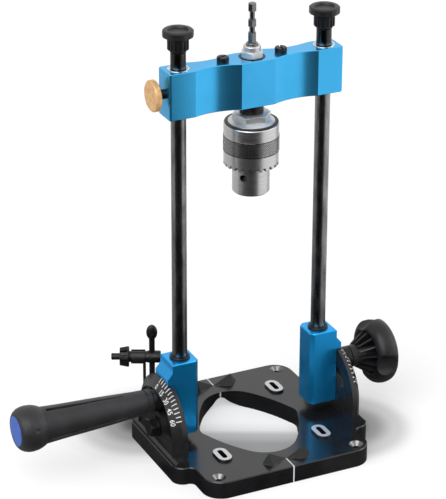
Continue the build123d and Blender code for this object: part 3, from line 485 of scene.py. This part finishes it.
def sheet_solid(point_of, across, along, thick):
    """Points and faces of a thin closed pad. point_of(u, v, lift) has u and v from 0 to 1."""
    points, faces = [], []
    for lift in (0.0, thick):
        for j in range(along + 1):
            for i in range(across + 1):
                points.append(point_of(i / across, j / along, lift))
    row, layer = across + 1, (across + 1) * (along + 1)
    for j in range(along):
        for i in range(across):
            a = j * row + i
            faces.append((a, a + row, a + row + 1, a + 1))
            faces.append((a + layer, a + layer + 1, a + layer + row + 1, a + layer + row))
    for j in range(along):
        for i in (0, across):
            a = j * row + i
            faces.append((a, a + row, a + row + layer, a + layer))
    for i in range(across):
        for j in (0, along):
            a = j * row + i
            faces.append((a, a + 1, a + 1 + layer, a + layer))
    return points, faces


def join_solids(solids):
    """One list of points and faces from several."""
    points, faces = [], []
    for some_points, some_faces in solids:
        start = len(points)
        points += some_points
        faces += [tuple(start + k for k in face) for face in some_faces]
    return points, faces


def ring_faces(segments, count):
    """Faces between closed loops of so many points, which stand round a full turn."""
    faces = []
    for k in range(segments):
        a, b = k * count, ((k + 1) % segments) * count
        for i in range(count):
            j = (i + 1) % count
            faces.append((a + i, b + i, b + j, a + j))
    return faces


def revolved(profile, segments, place, wave=None):
    """Points and faces of a closed ring surface. profile is a closed loop of (radius, height)."""
    points = []
    for k in range(segments):
        turn = tau * k / segments
        for radius, height in profile:
            out = radius + (wave(turn, height, radius) if wave else 0.0)
            points.append(place(out * cos(turn), out * sin(turn), height))
    return points, ring_faces(segments, len(profile))


# Scale marks on the sector plates

SCALE_RIM_X = 82.2 * MM
SCALE_RIM_R = 44.0 * MM
SCALE_TOP_X = 88.7 * MM
SCALE_TOP_R = 34.9 * MM
BAND_SLOPE = (SCALE_TOP_X - SCALE_RIM_X) / (SCALE_RIM_R - SCALE_TOP_R)
BAND_NORMAL = Vector((1.0, BAND_SLOPE)).normalized()

SCALE_END_DEGREES = 60
MARK_DEGREES = 5
LONG_MARK_DEGREES = 10
LONG_MARK_R = 40.2 * MM
SHORT_MARK_R = 40.9 * MM
MARK_W = 0.75 * MM
MARK_T = 0.06 * MM
MARK_OVER_RIM = 1.2 * MM
MARK_OVERLAP = 0.03 * MM

NUMBERS = (0, 15, 30, 45, 60)
NUMBER_R = 37.3 * MM
NUMBER_SIZE = 5.6 * MM
NUMBER_WEIGHT = 0.04 * MM
NUMBER_RESOLUTION = 4


def on_band(side, angle, radius, lift):
    """A point over the coned scale band: angle from the top to the front, in radians."""
    x = SCALE_TOP_X - (radius - SCALE_TOP_R) * BAND_SLOPE + lift * BAND_NORMAL.x
    out = radius + lift * BAND_NORMAL.y
    return Vector((side * x, -out * sin(angle), PIVOT_Z + out * cos(angle)))


def on_rim(side, angle, x, lift):
    """A point over the plate's cylindrical rim."""
    out = SCALE_RIM_R + lift
    return Vector((side * x, -out * sin(angle), PIVOT_Z + out * cos(angle)))


def mark(side, at, inner):
    """One mark: a strip down the band that turns over the rim's edge."""
    half = MARK_W / 2 / SCALE_RIM_R
    length = SCALE_RIM_R - inner

    def over_band(u, v, lift):
        return on_band(side, at + half * (2 * u - 1), inner + length * v, lift)

    def over_rim(u, v, lift):
        x = SCALE_RIM_X + MARK_OVERLAP - MARK_OVER_RIM * v
        return on_rim(side, at + half * (2 * u - 1), x, lift)

    return [
        sheet_solid(over_band, across=2, along=3, thick=MARK_T),
        sheet_solid(over_rim, across=2, along=2, thick=MARK_T),
    ]


def scale_marks(side, name):
    """Long and short marks by turns, from 0 degrees to the scale's end."""
    solids = []
    for value in range(0, SCALE_END_DEGREES + 1, MARK_DEGREES):
        inner = SHORT_MARK_R if value % LONG_MARK_DEGREES else LONG_MARK_R
        solids += mark(side, radians(value), inner)
    points, faces = join_solids(solids)
    obj = piece(name, points, faces, "base", WHITE)
    tidy_mesh(obj)


def scale_numbers(side, name):
    """The numbers of the scale, laid onto the coned band."""
    solids = []
    for value in NUMBERS:
        curve = bpy.data.curves.new("number", "FONT")
        curve.body = str(value)
        curve.size = NUMBER_SIZE
        curve.align_x = "CENTER"
        curve.align_y = "CENTER"
        curve.extrude = MARK_T / 2
        curve.offset = NUMBER_WEIGHT
        curve.resolution_u = NUMBER_RESOLUTION
        shape = bpy.data.objects.new("number", curve)
        mesh = bpy.data.meshes.new_from_object(shape)
        points = []
        for vertex in mesh.vertices:
            across, up, lift = vertex.co
            angle = radians(value) - side * across / NUMBER_R
            points.append(on_band(side, angle, NUMBER_R + up, lift + MARK_T / 2))
        solids.append((points, [tuple(face.vertices) for face in mesh.polygons]))
        bpy.data.objects.remove(shape)
        bpy.data.curves.remove(curve)
        bpy.data.meshes.remove(mesh)
    points, faces = join_solids(solids)
    obj = piece(name, points, faces, "base", WHITE)
    tidy_mesh(obj)


# Centre lines on the base

LINE_W = 1.05 * MM
LINE_T = 0.08 * MM
LINE_START_Y = 71.2 * MM
LINE_FOOT_Z = 0.3 * MM
BASE_FRONT = 85.5 * MM
BASE_EDGE = 0.8 * MM
HOLE_TIP = 57.0 * MM
WALL_LINE_TOP = 15.3 * MM
WALL_LINE_FOOT = 10.1 * MM


def line_strip(path, name):
    """A painted line along a path in the YZ plane, each point with its own outward side."""
    steps = len(path) - 1

    def at(u, v, lift):
        (y, z), (out_y, out_z) = path[round(v * steps)]
        return Vector((LINE_W * (u - 0.5), y + out_y * lift, z + out_z * lift))

    points, faces = sheet_solid(at, across=1, along=steps, thick=LINE_T)
    obj = piece(name, points, faces, "base", WHITE)
    tidy_mesh(obj)


def centre_lines():
    """Lines over the outer edges and down the opening's end walls."""
    lean = sqrt(0.5) / 2
    for side, word in ((-1, "front"), (1, "back")):
        edge = [
            ((side * LINE_START_Y, BASE_TOP), (0, 1)),
            ((side * (BASE_FRONT - BASE_EDGE), BASE_TOP), (side * lean, 1)),
            ((side * BASE_FRONT, BASE_TOP - BASE_EDGE), (side, lean)),
            ((side * BASE_FRONT, LINE_FOOT_Z), (side, 0)),
        ]
        line_strip(edge, f"centre_line_{word}")
        wall = [
            ((side * HOLE_TIP, WALL_LINE_TOP), (-side, 0)),
            ((side * HOLE_TIP, WALL_LINE_FOOT), (-side, 0)),
        ]
        line_strip(wall, f"opening_line_{word}")


# Knurled band on the chuck's sleeve

KNURL_LOW = 270.4 * MM
KNURL_HIGH = 283.5 * MM
KNURL_R = 23.15 * MM
KNURL_INNER_R = 22.7 * MM
KNURL_ROWS = 44
KNURL_GROOVES = 88
KNURL_STEPS_PER_GROOVE = 4
KNURL_DEPTH = 0.22 * MM
KNURL_FADE = 0.5 * MM
KNURL_CLIMB_PER_RADIAN = 23 * MM


def knurl_wave(turn, height, radius):
    """Offset of the band's outer face: two sets of grooves that cross, fading at the edges."""
    if radius < KNURL_R:
        return 0.0
    edge = min(1.0, (height - KNURL_LOW) / KNURL_FADE, (KNURL_HIGH - height) / KNURL_FADE)
    phase = (height - KNURL_LOW) / KNURL_CLIMB_PER_RADIAN
    one = abs(((turn + phase) * KNURL_GROOVES / tau) % 1.0 - 0.5) * 2
    two = abs(((turn - phase) * KNURL_GROOVES / tau) % 1.0 - 0.5) * 2
    return -KNURL_DEPTH * (1 - min(one, two)) * max(edge, 0.0)


def knurled_band():
    """A dark ring with crossed grooves, let into the sleeve."""
    profile = [(KNURL_INNER_R, KNURL_LOW), (KNURL_INNER_R, KNURL_HIGH)]
    for j in range(KNURL_ROWS + 1):
        profile.append((KNURL_R, KNURL_HIGH + (KNURL_LOW - KNURL_HIGH) * j / KNURL_ROWS))

    def place(x, y, z):
        return Vector((x, y, z))

    points, faces = revolved(profile, KNURL_GROOVES * KNURL_STEPS_PER_GROOVE, place, knurl_wave)
    obj = piece("sleeve_knurl", points, faces, "sleeve", CHARCOAL)
    tidy_mesh(obj, sharp_angle=70)


# Side handle

# Distance from the drilling axis and radius of the grip's outline, in millimetres
GRIP_OUTLINE = [
    (92.5, 9.4), (93.4, 10.3), (97.6, 10.9), (97.8, 10.0), (99.2, 10.0), (99.4, 10.6),
    (110, 11.05), (130, 12.4), (150, 13.5), (170, 14.4), (183, 15.2), (190, 15.7),
    (191.3, 15.9), (191.8, 16.8), (194.5, 18.0), (198, 19.0), (202.5, 19.4), (206, 19.1),
    (209.5, 18.0), (212, 16.2), (213.5, 14.2),
]
GRIP_SEGMENTS = 252
GRIP_STEP = 0.8
GRIP_FINE_STEP = 0.35
GRIP_FINE_SPANS = ((0, 101), (186, 193))

# Three grooves that widen and deepen from tail to head, in millimetres and degrees
GROOVE_HEAD = 187.0
GROOVE_TAIL = 118.0
GROOVE_ANGLES = (80, -22, 207)
GROOVE_HALF_W = 0.3
GROOVE_HALF_W_GAIN = 0.9
GROOVE_DEPTH = 0.8
GROOVE_DEPTH_GAIN = 1.9
GROOVE_SIDE_FADE = 0.35
GROOVE_END_FADE = 0.8

DIMPLE_X = 200.5
DIMPLE_ANGLE = 19.0
DIMPLE_R = 2.4
DIMPLE_DEPTH = 0.8

# The inlay in the grip's end, in millimetres, with heights over its seat
CAP_SEAT_X = -213.1
CAP_R = 13.0
CAP_BACK = -0.6
CAP_EDGE_TOP = 0.1
CAP_SHOULDER_W = 0.4
CAP_DOME_INSET = 0.9
CAP_DOME_FOOT = 0.45
CAP_DOME_RISE = 0.9
CAP_DOME_STEPS = 26
CAP_TEETH = 36
CAP_STEPS_PER_TOOTH = 6
CAP_TOOTH_DEPTH = 0.25

# Radius in millimetres at which a ring surface ends beside its axis
AXIS_R = 0.05


def outline_radius(x):
    """The grip's plain radius at a distance from the drilling axis, both in mm."""
    for (x0, r0), (x1, r1) in zip(GRIP_OUTLINE, GRIP_OUTLINE[1:]):
        if x <= x1:
            return r0 + (r1 - r0) * (x - x0) / (x1 - x0)
    return GRIP_OUTLINE[-1][1]


def groove_depth(x, off):
    """Depth of a narrow finger groove at a distance along and across it, in mm."""
    end = GROOVE_HEAD + GROOVE_END_FADE
    if x > end or x < GROOVE_TAIL:
        return 0.0
    share = min(1.0, (x - GROOVE_TAIL) / (GROOVE_HEAD - GROOVE_TAIL))
    reach = GROOVE_HALF_W + GROOVE_HALF_W_GAIN * share + GROOVE_SIDE_FADE
    if off > reach:
        return 0.0
    depth = GROOVE_DEPTH + GROOVE_DEPTH_GAIN * share
    return depth * min(1.0, (end - x) / GROOVE_END_FADE) * min(1.0, (reach - off) / GROOVE_SIDE_FADE)


def turn_from(angle, turn):
    """The signed turn in radians from an angle in degrees, the short way round."""
    return (turn - radians(angle) + pi) % tau - pi


def grip_radius(x, turn):
    """The grip's radius in mm, with its grooves; turn is from the front towards the top."""
    radius = outline_radius(x)
    cut = max(groove_depth(x, abs(turn_from(angle, turn)) * radius) for angle in GROOVE_ANGLES)
    from_dimple = hypot(x - DIMPLE_X, turn_from(DIMPLE_ANGLE, turn) * radius) / DIMPLE_R
    if from_dimple < 1:
        cut = DIMPLE_DEPTH * (1 - from_dimple ** 2) ** 2
    return radius - cut


def grip_stations():
    """Distances in mm at which the grip's rings lie, closer where the outline turns sharply."""
    stations = [x for x, radius in GRIP_OUTLINE]
    x, end = stations[0], stations[-1]
    while x < end:
        stations.append(x)
        fine = any(low < x < high for low, high in GRIP_FINE_SPANS)
        x += GRIP_FINE_STEP if fine else GRIP_STEP
    return sorted(set(round(x, 3) for x in stations))


def handle_grip():
    """The moulded grip: collar ring, waist with three drop-shaped grooves, and a bulb."""
    stations = grip_stations()
    points, faces = [], []
    for x in stations:
        for k in range(GRIP_SEGMENTS):
            turn = tau * k / GRIP_SEGMENTS
            radius = grip_radius(x, turn) * MM
            points.append(Vector((-x * MM, -radius * cos(turn), CLAMP_Z + radius * sin(turn))))
    for s in range(len(stations) - 1):
        for k in range(GRIP_SEGMENTS):
            a, b = s * GRIP_SEGMENTS + k, s * GRIP_SEGMENTS + (k + 1) % GRIP_SEGMENTS
            faces.append((a, b, b + GRIP_SEGMENTS, a + GRIP_SEGMENTS))
    last = (len(stations) - 1) * GRIP_SEGMENTS
    faces.append(tuple(range(GRIP_SEGMENTS)))
    faces.append(tuple(last + k for k in reversed(range(GRIP_SEGMENTS))))
    obj = piece("side_grip", points, faces, "side_handle", RUBBER)
    tidy_mesh(obj, sharp_angle=50)
    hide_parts("handle_grip")


def cap_wave(turn, height, radius):
    """Offset of the inlay's edge in mm: a serration above its seat."""
    if radius < CAP_R or height < 0:
        return 0.0
    return -CAP_TOOTH_DEPTH * (0.5 - 0.5 * cos(CAP_TEETH * turn))


def grip_cap():
    """The round inlay in the grip's end, domed, with a serrated edge."""
    profile = [
        (AXIS_R, CAP_BACK),
        (CAP_R, CAP_BACK),
        (CAP_R, CAP_EDGE_TOP),
        (CAP_R - CAP_SHOULDER_W, CAP_DOME_FOOT),
    ]
    for k in range(CAP_DOME_STEPS):
        share = 1 - (k + 1) / (CAP_DOME_STEPS + 1)
        height = CAP_DOME_FOOT + CAP_DOME_RISE * (1 - share ** 2)
        profile.append((max((CAP_R - CAP_DOME_INSET) * share, AXIS_R), height))

    def place(x, y, z):
        return Vector(((CAP_SEAT_X - z) * MM, -x * MM, CLAMP_Z + y * MM))

    points, faces = revolved(profile, CAP_TEETH * CAP_STEPS_PER_TOOTH, place, cap_wave)
    obj = piece("grip_inlay", points, faces, "side_handle", CAP)
    tidy_mesh(obj)
    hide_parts("handle_end_cap")


# Star knob

# Radius and distance from the drilling axis, in millimetres, from the rim's back to its front
KNOB_PROFILE = [
    (16.8, 118.0), (19.3, 114.6), (20.8, 114.0), (23.6, 114.4), (26.2, 115.9), (28.0, 118.6),
    (28.8, 122.5), (28.6, 126.5), (27.0, 130.4), (23.4, 133.1), (17.6, 134.3), (10.0, 134.5),
]
KNOB_SMOOTH_STEPS = 4
KNOB_SEGMENTS = 180
KNOB_FRONT_X = 134.5
KNOB_WALL_X = 129.0
KNOB_WALL_RADII = (10.8, 15.6)
KNOB_LOBES = 3
KNOB_VALLEY_TURN = -4.0
KNOB_SCOOP_R = 11.0
KNOB_SCOOP_REACH = 20.2
KNOB_SCOOP_SLOPE = 0.325
KNOB_SCOOP_X = 115.5
KNOB_SCOOP_LEAST_R = 19.5
KNOB_BLEND = 2.6
KNOB_HUB = [(9.4, 96.6), (10.4, 117.0), (11.0, 129.0)]
KNOB_HUB_SEGMENTS = 72
KNOB_RIBS = 14
KNOB_RIB_T = 1.5
KNOB_RIB = [(8.0, 101.5), (11.2, 102.4), (19.4, 114.6), (18.2, 129.0), (8.0, 129.0)]


def between(p, q, r, s, t):
    """A number on the smooth curve through four in a row, at a share of the way from q to r."""
    bend = (2 * p - 5 * q + 4 * r - s) * t * t
    twist = (3 * q - p - 3 * r + s) * t ** 3
    return 0.5 * (2 * q + (r - p) * t + bend + twist)


def smooth_path(points, steps):
    """A curve through points, with the end points kept."""
    path = []
    padded = [points[0]] + points + [points[-1]]
    for a, b, c, d in zip(padded, padded[1:], padded[2:], padded[3:]):
        for k in range(steps):
            path.append(tuple(between(*four, k / steps) for four in zip(a, b, c, d)))
    path.append(points[-1])
    return path


def at_knob(radius, x, turn):
    """A point about the knob's axis, in mm; turn is from the front towards the top."""
    return Vector((x * MM, -radius * cos(turn) * MM, CLAMP_Z + radius * sin(turn) * MM))


def scooped(radius, x, turn):
    """The knob's radius, where its rim blends softly into the nearest finger scoop."""
    if radius <= KNOB_SCOOP_LEAST_R:
        return radius
    pitch = tau / KNOB_LOBES
    off = (turn - radians(KNOB_VALLEY_TURN) + pitch / 2) % pitch - pitch / 2
    centre = KNOB_SCOOP_REACH + KNOB_SCOOP_R + (x - KNOB_SCOOP_X) * KNOB_SCOOP_SLOPE
    inside = KNOB_SCOOP_R ** 2 - (centre * sin(off)) ** 2
    if inside <= 0:
        return radius
    scoop = centre * cos(off) - sqrt(inside)
    blend = max(0.0, min(1.0, 0.5 + 0.5 * (scoop - radius) / KNOB_BLEND))
    return scoop + (radius - scoop) * blend - KNOB_BLEND * blend * (1 - blend)


def knob_rim():
    """The hollow rim with its scoops, closed across the knob's front."""
    profile = [(radius, KNOB_WALL_X) for radius in KNOB_WALL_RADII]
    profile += smooth_path(KNOB_PROFILE, KNOB_SMOOTH_STEPS)
    profile += [(AXIS_R, KNOB_FRONT_X), (AXIS_R, KNOB_WALL_X)]
    points = []
    for k in range(KNOB_SEGMENTS):
        turn = tau * k / KNOB_SEGMENTS
        points += [at_knob(scooped(radius, x, turn), x, turn) for radius, x in profile]
    return points, ring_faces(KNOB_SEGMENTS, len(profile))


def knob_hub():
    """The hub about the stud."""
    profile = [(AXIS_R, KNOB_HUB[0][1])] + KNOB_HUB + [(AXIS_R, KNOB_HUB[-1][1])]

    def place(a, b, x):
        return Vector((x * MM, -a * MM, CLAMP_Z + b * MM))

    return revolved(profile, KNOB_HUB_SEGMENTS, place)


def knob_rib(turn):
    """One thin rib between the hub and the rim."""
    points = []
    for side in (-0.5, 0.5):
        for radius, x in KNOB_RIB:
            across = Vector((0, sin(turn), cos(turn))) * side * KNOB_RIB_T * MM
            points.append(at_knob(radius, x, turn) + across)
    count = len(KNOB_RIB)
    faces = [tuple(range(count)), tuple(range(2 * count - 1, count - 1, -1))]
    faces += [(i, i + count, (i + 1) % count + count, (i + 1) % count) for i in range(count)]
    return points, faces


def star_knob():
    """The moulded clamp knob: hub, ribbed hollow back and soft lobes with valleys between them."""
    solids = [knob_rim(), knob_hub()]
    solids += [knob_rib(tau * (k + 0.5) / KNOB_RIBS) for k in range(KNOB_RIBS)]
    points, faces = join_solids(solids)
    obj = piece("clamp_knob", points, faces, "star_clamp", MOULDED)
    tidy_mesh(obj)
    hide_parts("star_knob")


# Studio

KEY_FROM = (-0.6, -0.55, 0.68)
KEY_STRENGTH = 2.3
KEY_BREADTH = radians(58)
LEFT_BOX_AT = (-1.9, -0.1, 1.0)
RIGHT_BOX_AT = (1.9, -0.7, 1.0)
BOX_AIM = (0, 0, 0.17)
BOX_SIZE = (0.8, 1.4)
BOX_POWER = 7

# What gloss sees: tones by how far a direction turns to the dark side and to the right
DARK_SIDE = (-0.541, -0.841, 0.0)
RIGHT_SIDE = (0.901, -0.434, 0.0)
DARK_STOPS = [(0.0, 0.85), (0.3, 0.82), (0.775, 0.8), (0.845, 0.1), (1.0, 0.02)]
RIGHT_STOPS = [(0.0, 0.62), (0.5, 0.8), (0.85, 1.0), (1.0, 1.0)]
PURE_WHITE = (1.0, 1.0, 1.0)
WORLD_FILL = 0.55
WORLD_GLOSS = 1.5

FLOOR_REACH = 6.0
FLOOR_LEVEL = -0.2 * MM
FLOOR_CORNERS = ((-1, -1), (1, -1), (1, 1), (-1, 1))
FLOOR_OWN = 0.5
FLOOR_GLOSS = 1.3
# Tone that gloss sees on the floor by its distance from the middle: painted shade close to the base
NEAR_STOPS = [(0.02, 0.04), (0.12, 0.12), (0.3, 0.55), (0.6, 1.0)]

# Soft shade on the floor: centre and reach of both patches, and their tone from the middle outwards
PATCHES = [
    ((-0.076, 0.062, 0.0), (0.074, 0.074, 1.0)),
    ((0.085, -0.020, 0.0), (0.072, 0.074, 1.0)),
]
PATCH_STOPS = [(0.1, 0.12), (0.33, 0.36), (0.6, 0.64), (0.87, 0.95), (1.0, 1.0)]

# Shade in the base's opening: its tone along a direction from a middle of 0.5, and its edge
OPENING_FALL = (0.434, 0.901, 0.0)
OPENING_MIDDLE = 0.5
OPENING_STOPS = [(0.486, 0.34), (0.502, 0.5), (0.515, 0.88), (0.526, 1.0)]
OPENING_EDGE = [(0.062, 0.0), (0.078, 1.0)]


def camera():
    """The camera that was fitted to the photograph."""
    data = bpy.data.cameras.new("camera")
    data.lens = CAMERA_LENS_MM
    data.sensor_width = CAMERA_SENSOR_MM
    data.clip_end = CAMERA_REACH
    cam = bpy.data.objects.new("camera", data)
    bpy.context.scene.collection.objects.link(cam)
    tilt = Matrix.Rotation(pi / 2 - CAMERA_ELEVATION, 4, "X")
    turn = Matrix.Rotation(CAMERA_AZIMUTH, 4, "Z") @ tilt
    cam.matrix_world = Matrix.Translation(CAMERA_AT) @ turn @ Matrix.Rotation(CAMERA_ROLL, 4, "Z")
    bpy.context.scene.camera = cam


def lamp(name, kind, power):
    """A new lamp in the scene."""
    data = bpy.data.lights.new(name, kind)
    data.energy = power
    obj = bpy.data.objects.new(name, data)
    bpy.context.scene.collection.objects.link(obj)
    return obj


def softbox(name, at):
    """A rectangular lamp that faces the middle of the object."""
    obj = lamp(name, "AREA", BOX_POWER)
    obj.data.shape = "RECTANGLE"
    obj.data.size, obj.data.size_y = BOX_SIZE
    obj.location = at
    obj.rotation_euler = (Vector(BOX_AIM) - Vector(at)).to_track_quat("-Z", "Y").to_euler()


def lights():
    """A broad key high over the camera's left shoulder, and weak boxes at the sides."""
    key = lamp("key", "SUN", KEY_STRENGTH)
    key.data.angle = KEY_BREADTH
    key.rotation_euler = Vector(KEY_FROM).to_track_quat("Z", "Y").to_euler()
    softbox("left_box", LEFT_BOX_AT)
    softbox("right_box", RIGHT_BOX_AT)


def product(owner, first, second):
    """The product of two values."""
    made = node(owner, "ShaderNodeMath", "MULTIPLY")
    wire(owner, first, made.inputs[0])
    wire(owner, second, made.inputs[1])
    return made.outputs["Value"]


def scale_and_shift(owner, source, factor, shift):
    """A value times a factor, plus a shift."""
    made = node(owner, "ShaderNodeMath", "MULTIPLY_ADD")
    wire(owner, source, made.inputs[0])
    made.inputs[1].default_value = factor
    made.inputs[2].default_value = shift
    return made.outputs["Value"]


def vector_node(owner, operation, source, constant=None):
    """Vector maths on an output, with a constant vector as the second input if one is given."""
    made = node(owner, "ShaderNodeVectorMath", operation)
    wire(owner, source, made.inputs[0])
    if constant is not None:
        made.inputs[1].default_value = constant
    return made


def length_term(owner, vector):
    """The length of a vector."""
    return vector_node(owner, "LENGTH", vector).outputs["Value"]


def dot_term(owner, vector, constant):
    """The dot product of a vector and a constant one."""
    return vector_node(owner, "DOT_PRODUCT", vector, constant).outputs["Value"]


def facing_term(owner, direction, towards):
    """How far a direction turns to a given one, from 0 for away to 1 for towards it."""
    return scale_and_shift(owner, dot_term(owner, direction, towards), 0.5, 0.5)


def gloss_tone(owner, direction):
    """The tone that gloss sees in a direction: dark behind the camera, pale at the right."""
    dark = grey_ramp(owner, facing_term(owner, direction, DARK_SIDE), DARK_STOPS)
    right = grey_ramp(owner, facing_term(owner, direction, RIGHT_SIDE), RIGHT_STOPS)
    return product(owner, dark, right)


def mixed(owner, share, first, second):
    """A mix of two shaders by a value or by another node's output."""
    made = node(owner, "ShaderNodeMixShader")
    if isinstance(share, float):
        made.inputs["Fac"].default_value = share
    else:
        wire(owner, share, made.inputs["Fac"])
    wire(owner, first, made.inputs[1])
    wire(owner, second, made.inputs[2])
    return made.outputs["Shader"]


def by_ray(owner, for_light, for_camera, for_gloss):
    """One shader out of three, by the kind of ray that arrives."""
    path = node(owner, "ShaderNodeLightPath").outputs
    seen = mixed(owner, path["Is Camera Ray"], for_light, for_camera)
    return mixed(owner, path["Is Glossy Ray"], seen, for_gloss)


def world():
    """A pale studio: even light, plain white for the camera, and dark behind it for gloss."""
    made = bpy.data.worlds.new("studio")
    bpy.context.scene.world = made
    made.use_nodes = True
    made.node_tree.nodes.clear()
    fill = node(made, "ShaderNodeBackground", Color=(*PURE_WHITE, 1.0), Strength=WORLD_FILL)
    backdrop = node(made, "ShaderNodeBackground", Color=(*PURE_WHITE, 1.0), Strength=1.0)
    gloss = node(made, "ShaderNodeBackground", Strength=WORLD_GLOSS)
    direction = node(made, "ShaderNodeTexCoord").outputs["Generated"]
    wire(made, gloss_tone(made, direction), gloss.inputs["Color"])
    kinds = [part.outputs["Background"] for part in (fill, backdrop, gloss)]
    wire(made, by_ray(made, *kinds), node(made, "ShaderNodeOutputWorld").inputs["Surface"])


def patch_tone(mat, place, centre, reach):
    """Tone of a patch of shade, by the distance from its centre as a share of its reach."""
    apart = vector_node(mat, "SUBTRACT", place, centre).outputs["Vector"]
    share = vector_node(mat, "DIVIDE", apart, reach).outputs["Vector"]
    return grey_ramp(mat, length_term(mat, share), PATCH_STOPS)


def floor_shade(mat, place):
    """Grey of the soft shade that lies beside the base and in its opening."""
    beside = product(mat, *(patch_tone(mat, place, *patch) for patch in PATCHES))
    level = scale_and_shift(mat, dot_term(mat, place, OPENING_FALL), 1.0, OPENING_MIDDLE)
    whole = node(mat, "ShaderNodeMapRange")
    wire(mat, grey_ramp(mat, length_term(mat, place), OPENING_EDGE), whole.inputs["Value"])
    wire(mat, grey_ramp(mat, level, OPENING_STOPS), whole.inputs["To Min"])
    wire(mat, beside, whole.inputs["To Max"])
    return whole.outputs["Result"]


def floor_paint():
    """Matte white with painted shade. Gloss sees it dark in front, with painted shade close by, and
    pale at the sides.
    """
    mat = surface("floor", PURE_WHITE, 1.0, Specular_IOR_Level=0.0)
    matte = shader_of(mat)
    place = node(mat, "ShaderNodeTexCoord").outputs["Object"]
    tone = floor_shade(mat, place)
    wire(mat, tone, matte.inputs["Base Color"])
    own = node(mat, "ShaderNodeEmission")
    wire(mat, tone, own.inputs["Color"])
    glow = node(mat, "ShaderNodeEmission", Strength=FLOOR_GLOSS)
    direction = vector_node(mat, "NORMALIZE", place).outputs["Vector"]
    near = grey_ramp(mat, length_term(mat, place), NEAR_STOPS)
    wire(mat, product(mat, gloss_tone(mat, direction), near), glow.inputs["Color"])
    to_camera = mixed(mat, FLOOR_OWN, matte.outputs["BSDF"], own.outputs["Emission"])
    whole = by_ray(mat, matte.outputs["BSDF"], to_camera, glow.outputs["Emission"])
    wire(mat, whole, mat.node_tree.nodes["Material Output"].inputs["Surface"])
    return mat


def floor():
    """A wide floor just under the base, which holds soft shadows."""
    mesh = bpy.data.meshes.new("floor")
    corners = [(x * FLOOR_REACH, y * FLOOR_REACH, FLOOR_LEVEL) for x, y in FLOOR_CORNERS]
    mesh.from_pydata(corners, [], [(0, 1, 2, 3)])
    mesh.materials.append(floor_paint())
    obj = bpy.data.objects.new("floor", mesh)
    bpy.context.scene.collection.objects.link(obj)


dress_nodes()
second_finishes()
for side, word in ((-1, "left"), (1, "right")):
    scale_marks(side, f"scale_marks_{word}")
    scale_numbers(side, f"scale_numbers_{word}")
centre_lines()
knurled_band()
handle_grip()
grip_cap()
star_knob()
camera()
world()
floor()
lights()
bpy.context.scene.view_settings.view_transform = "Standard"
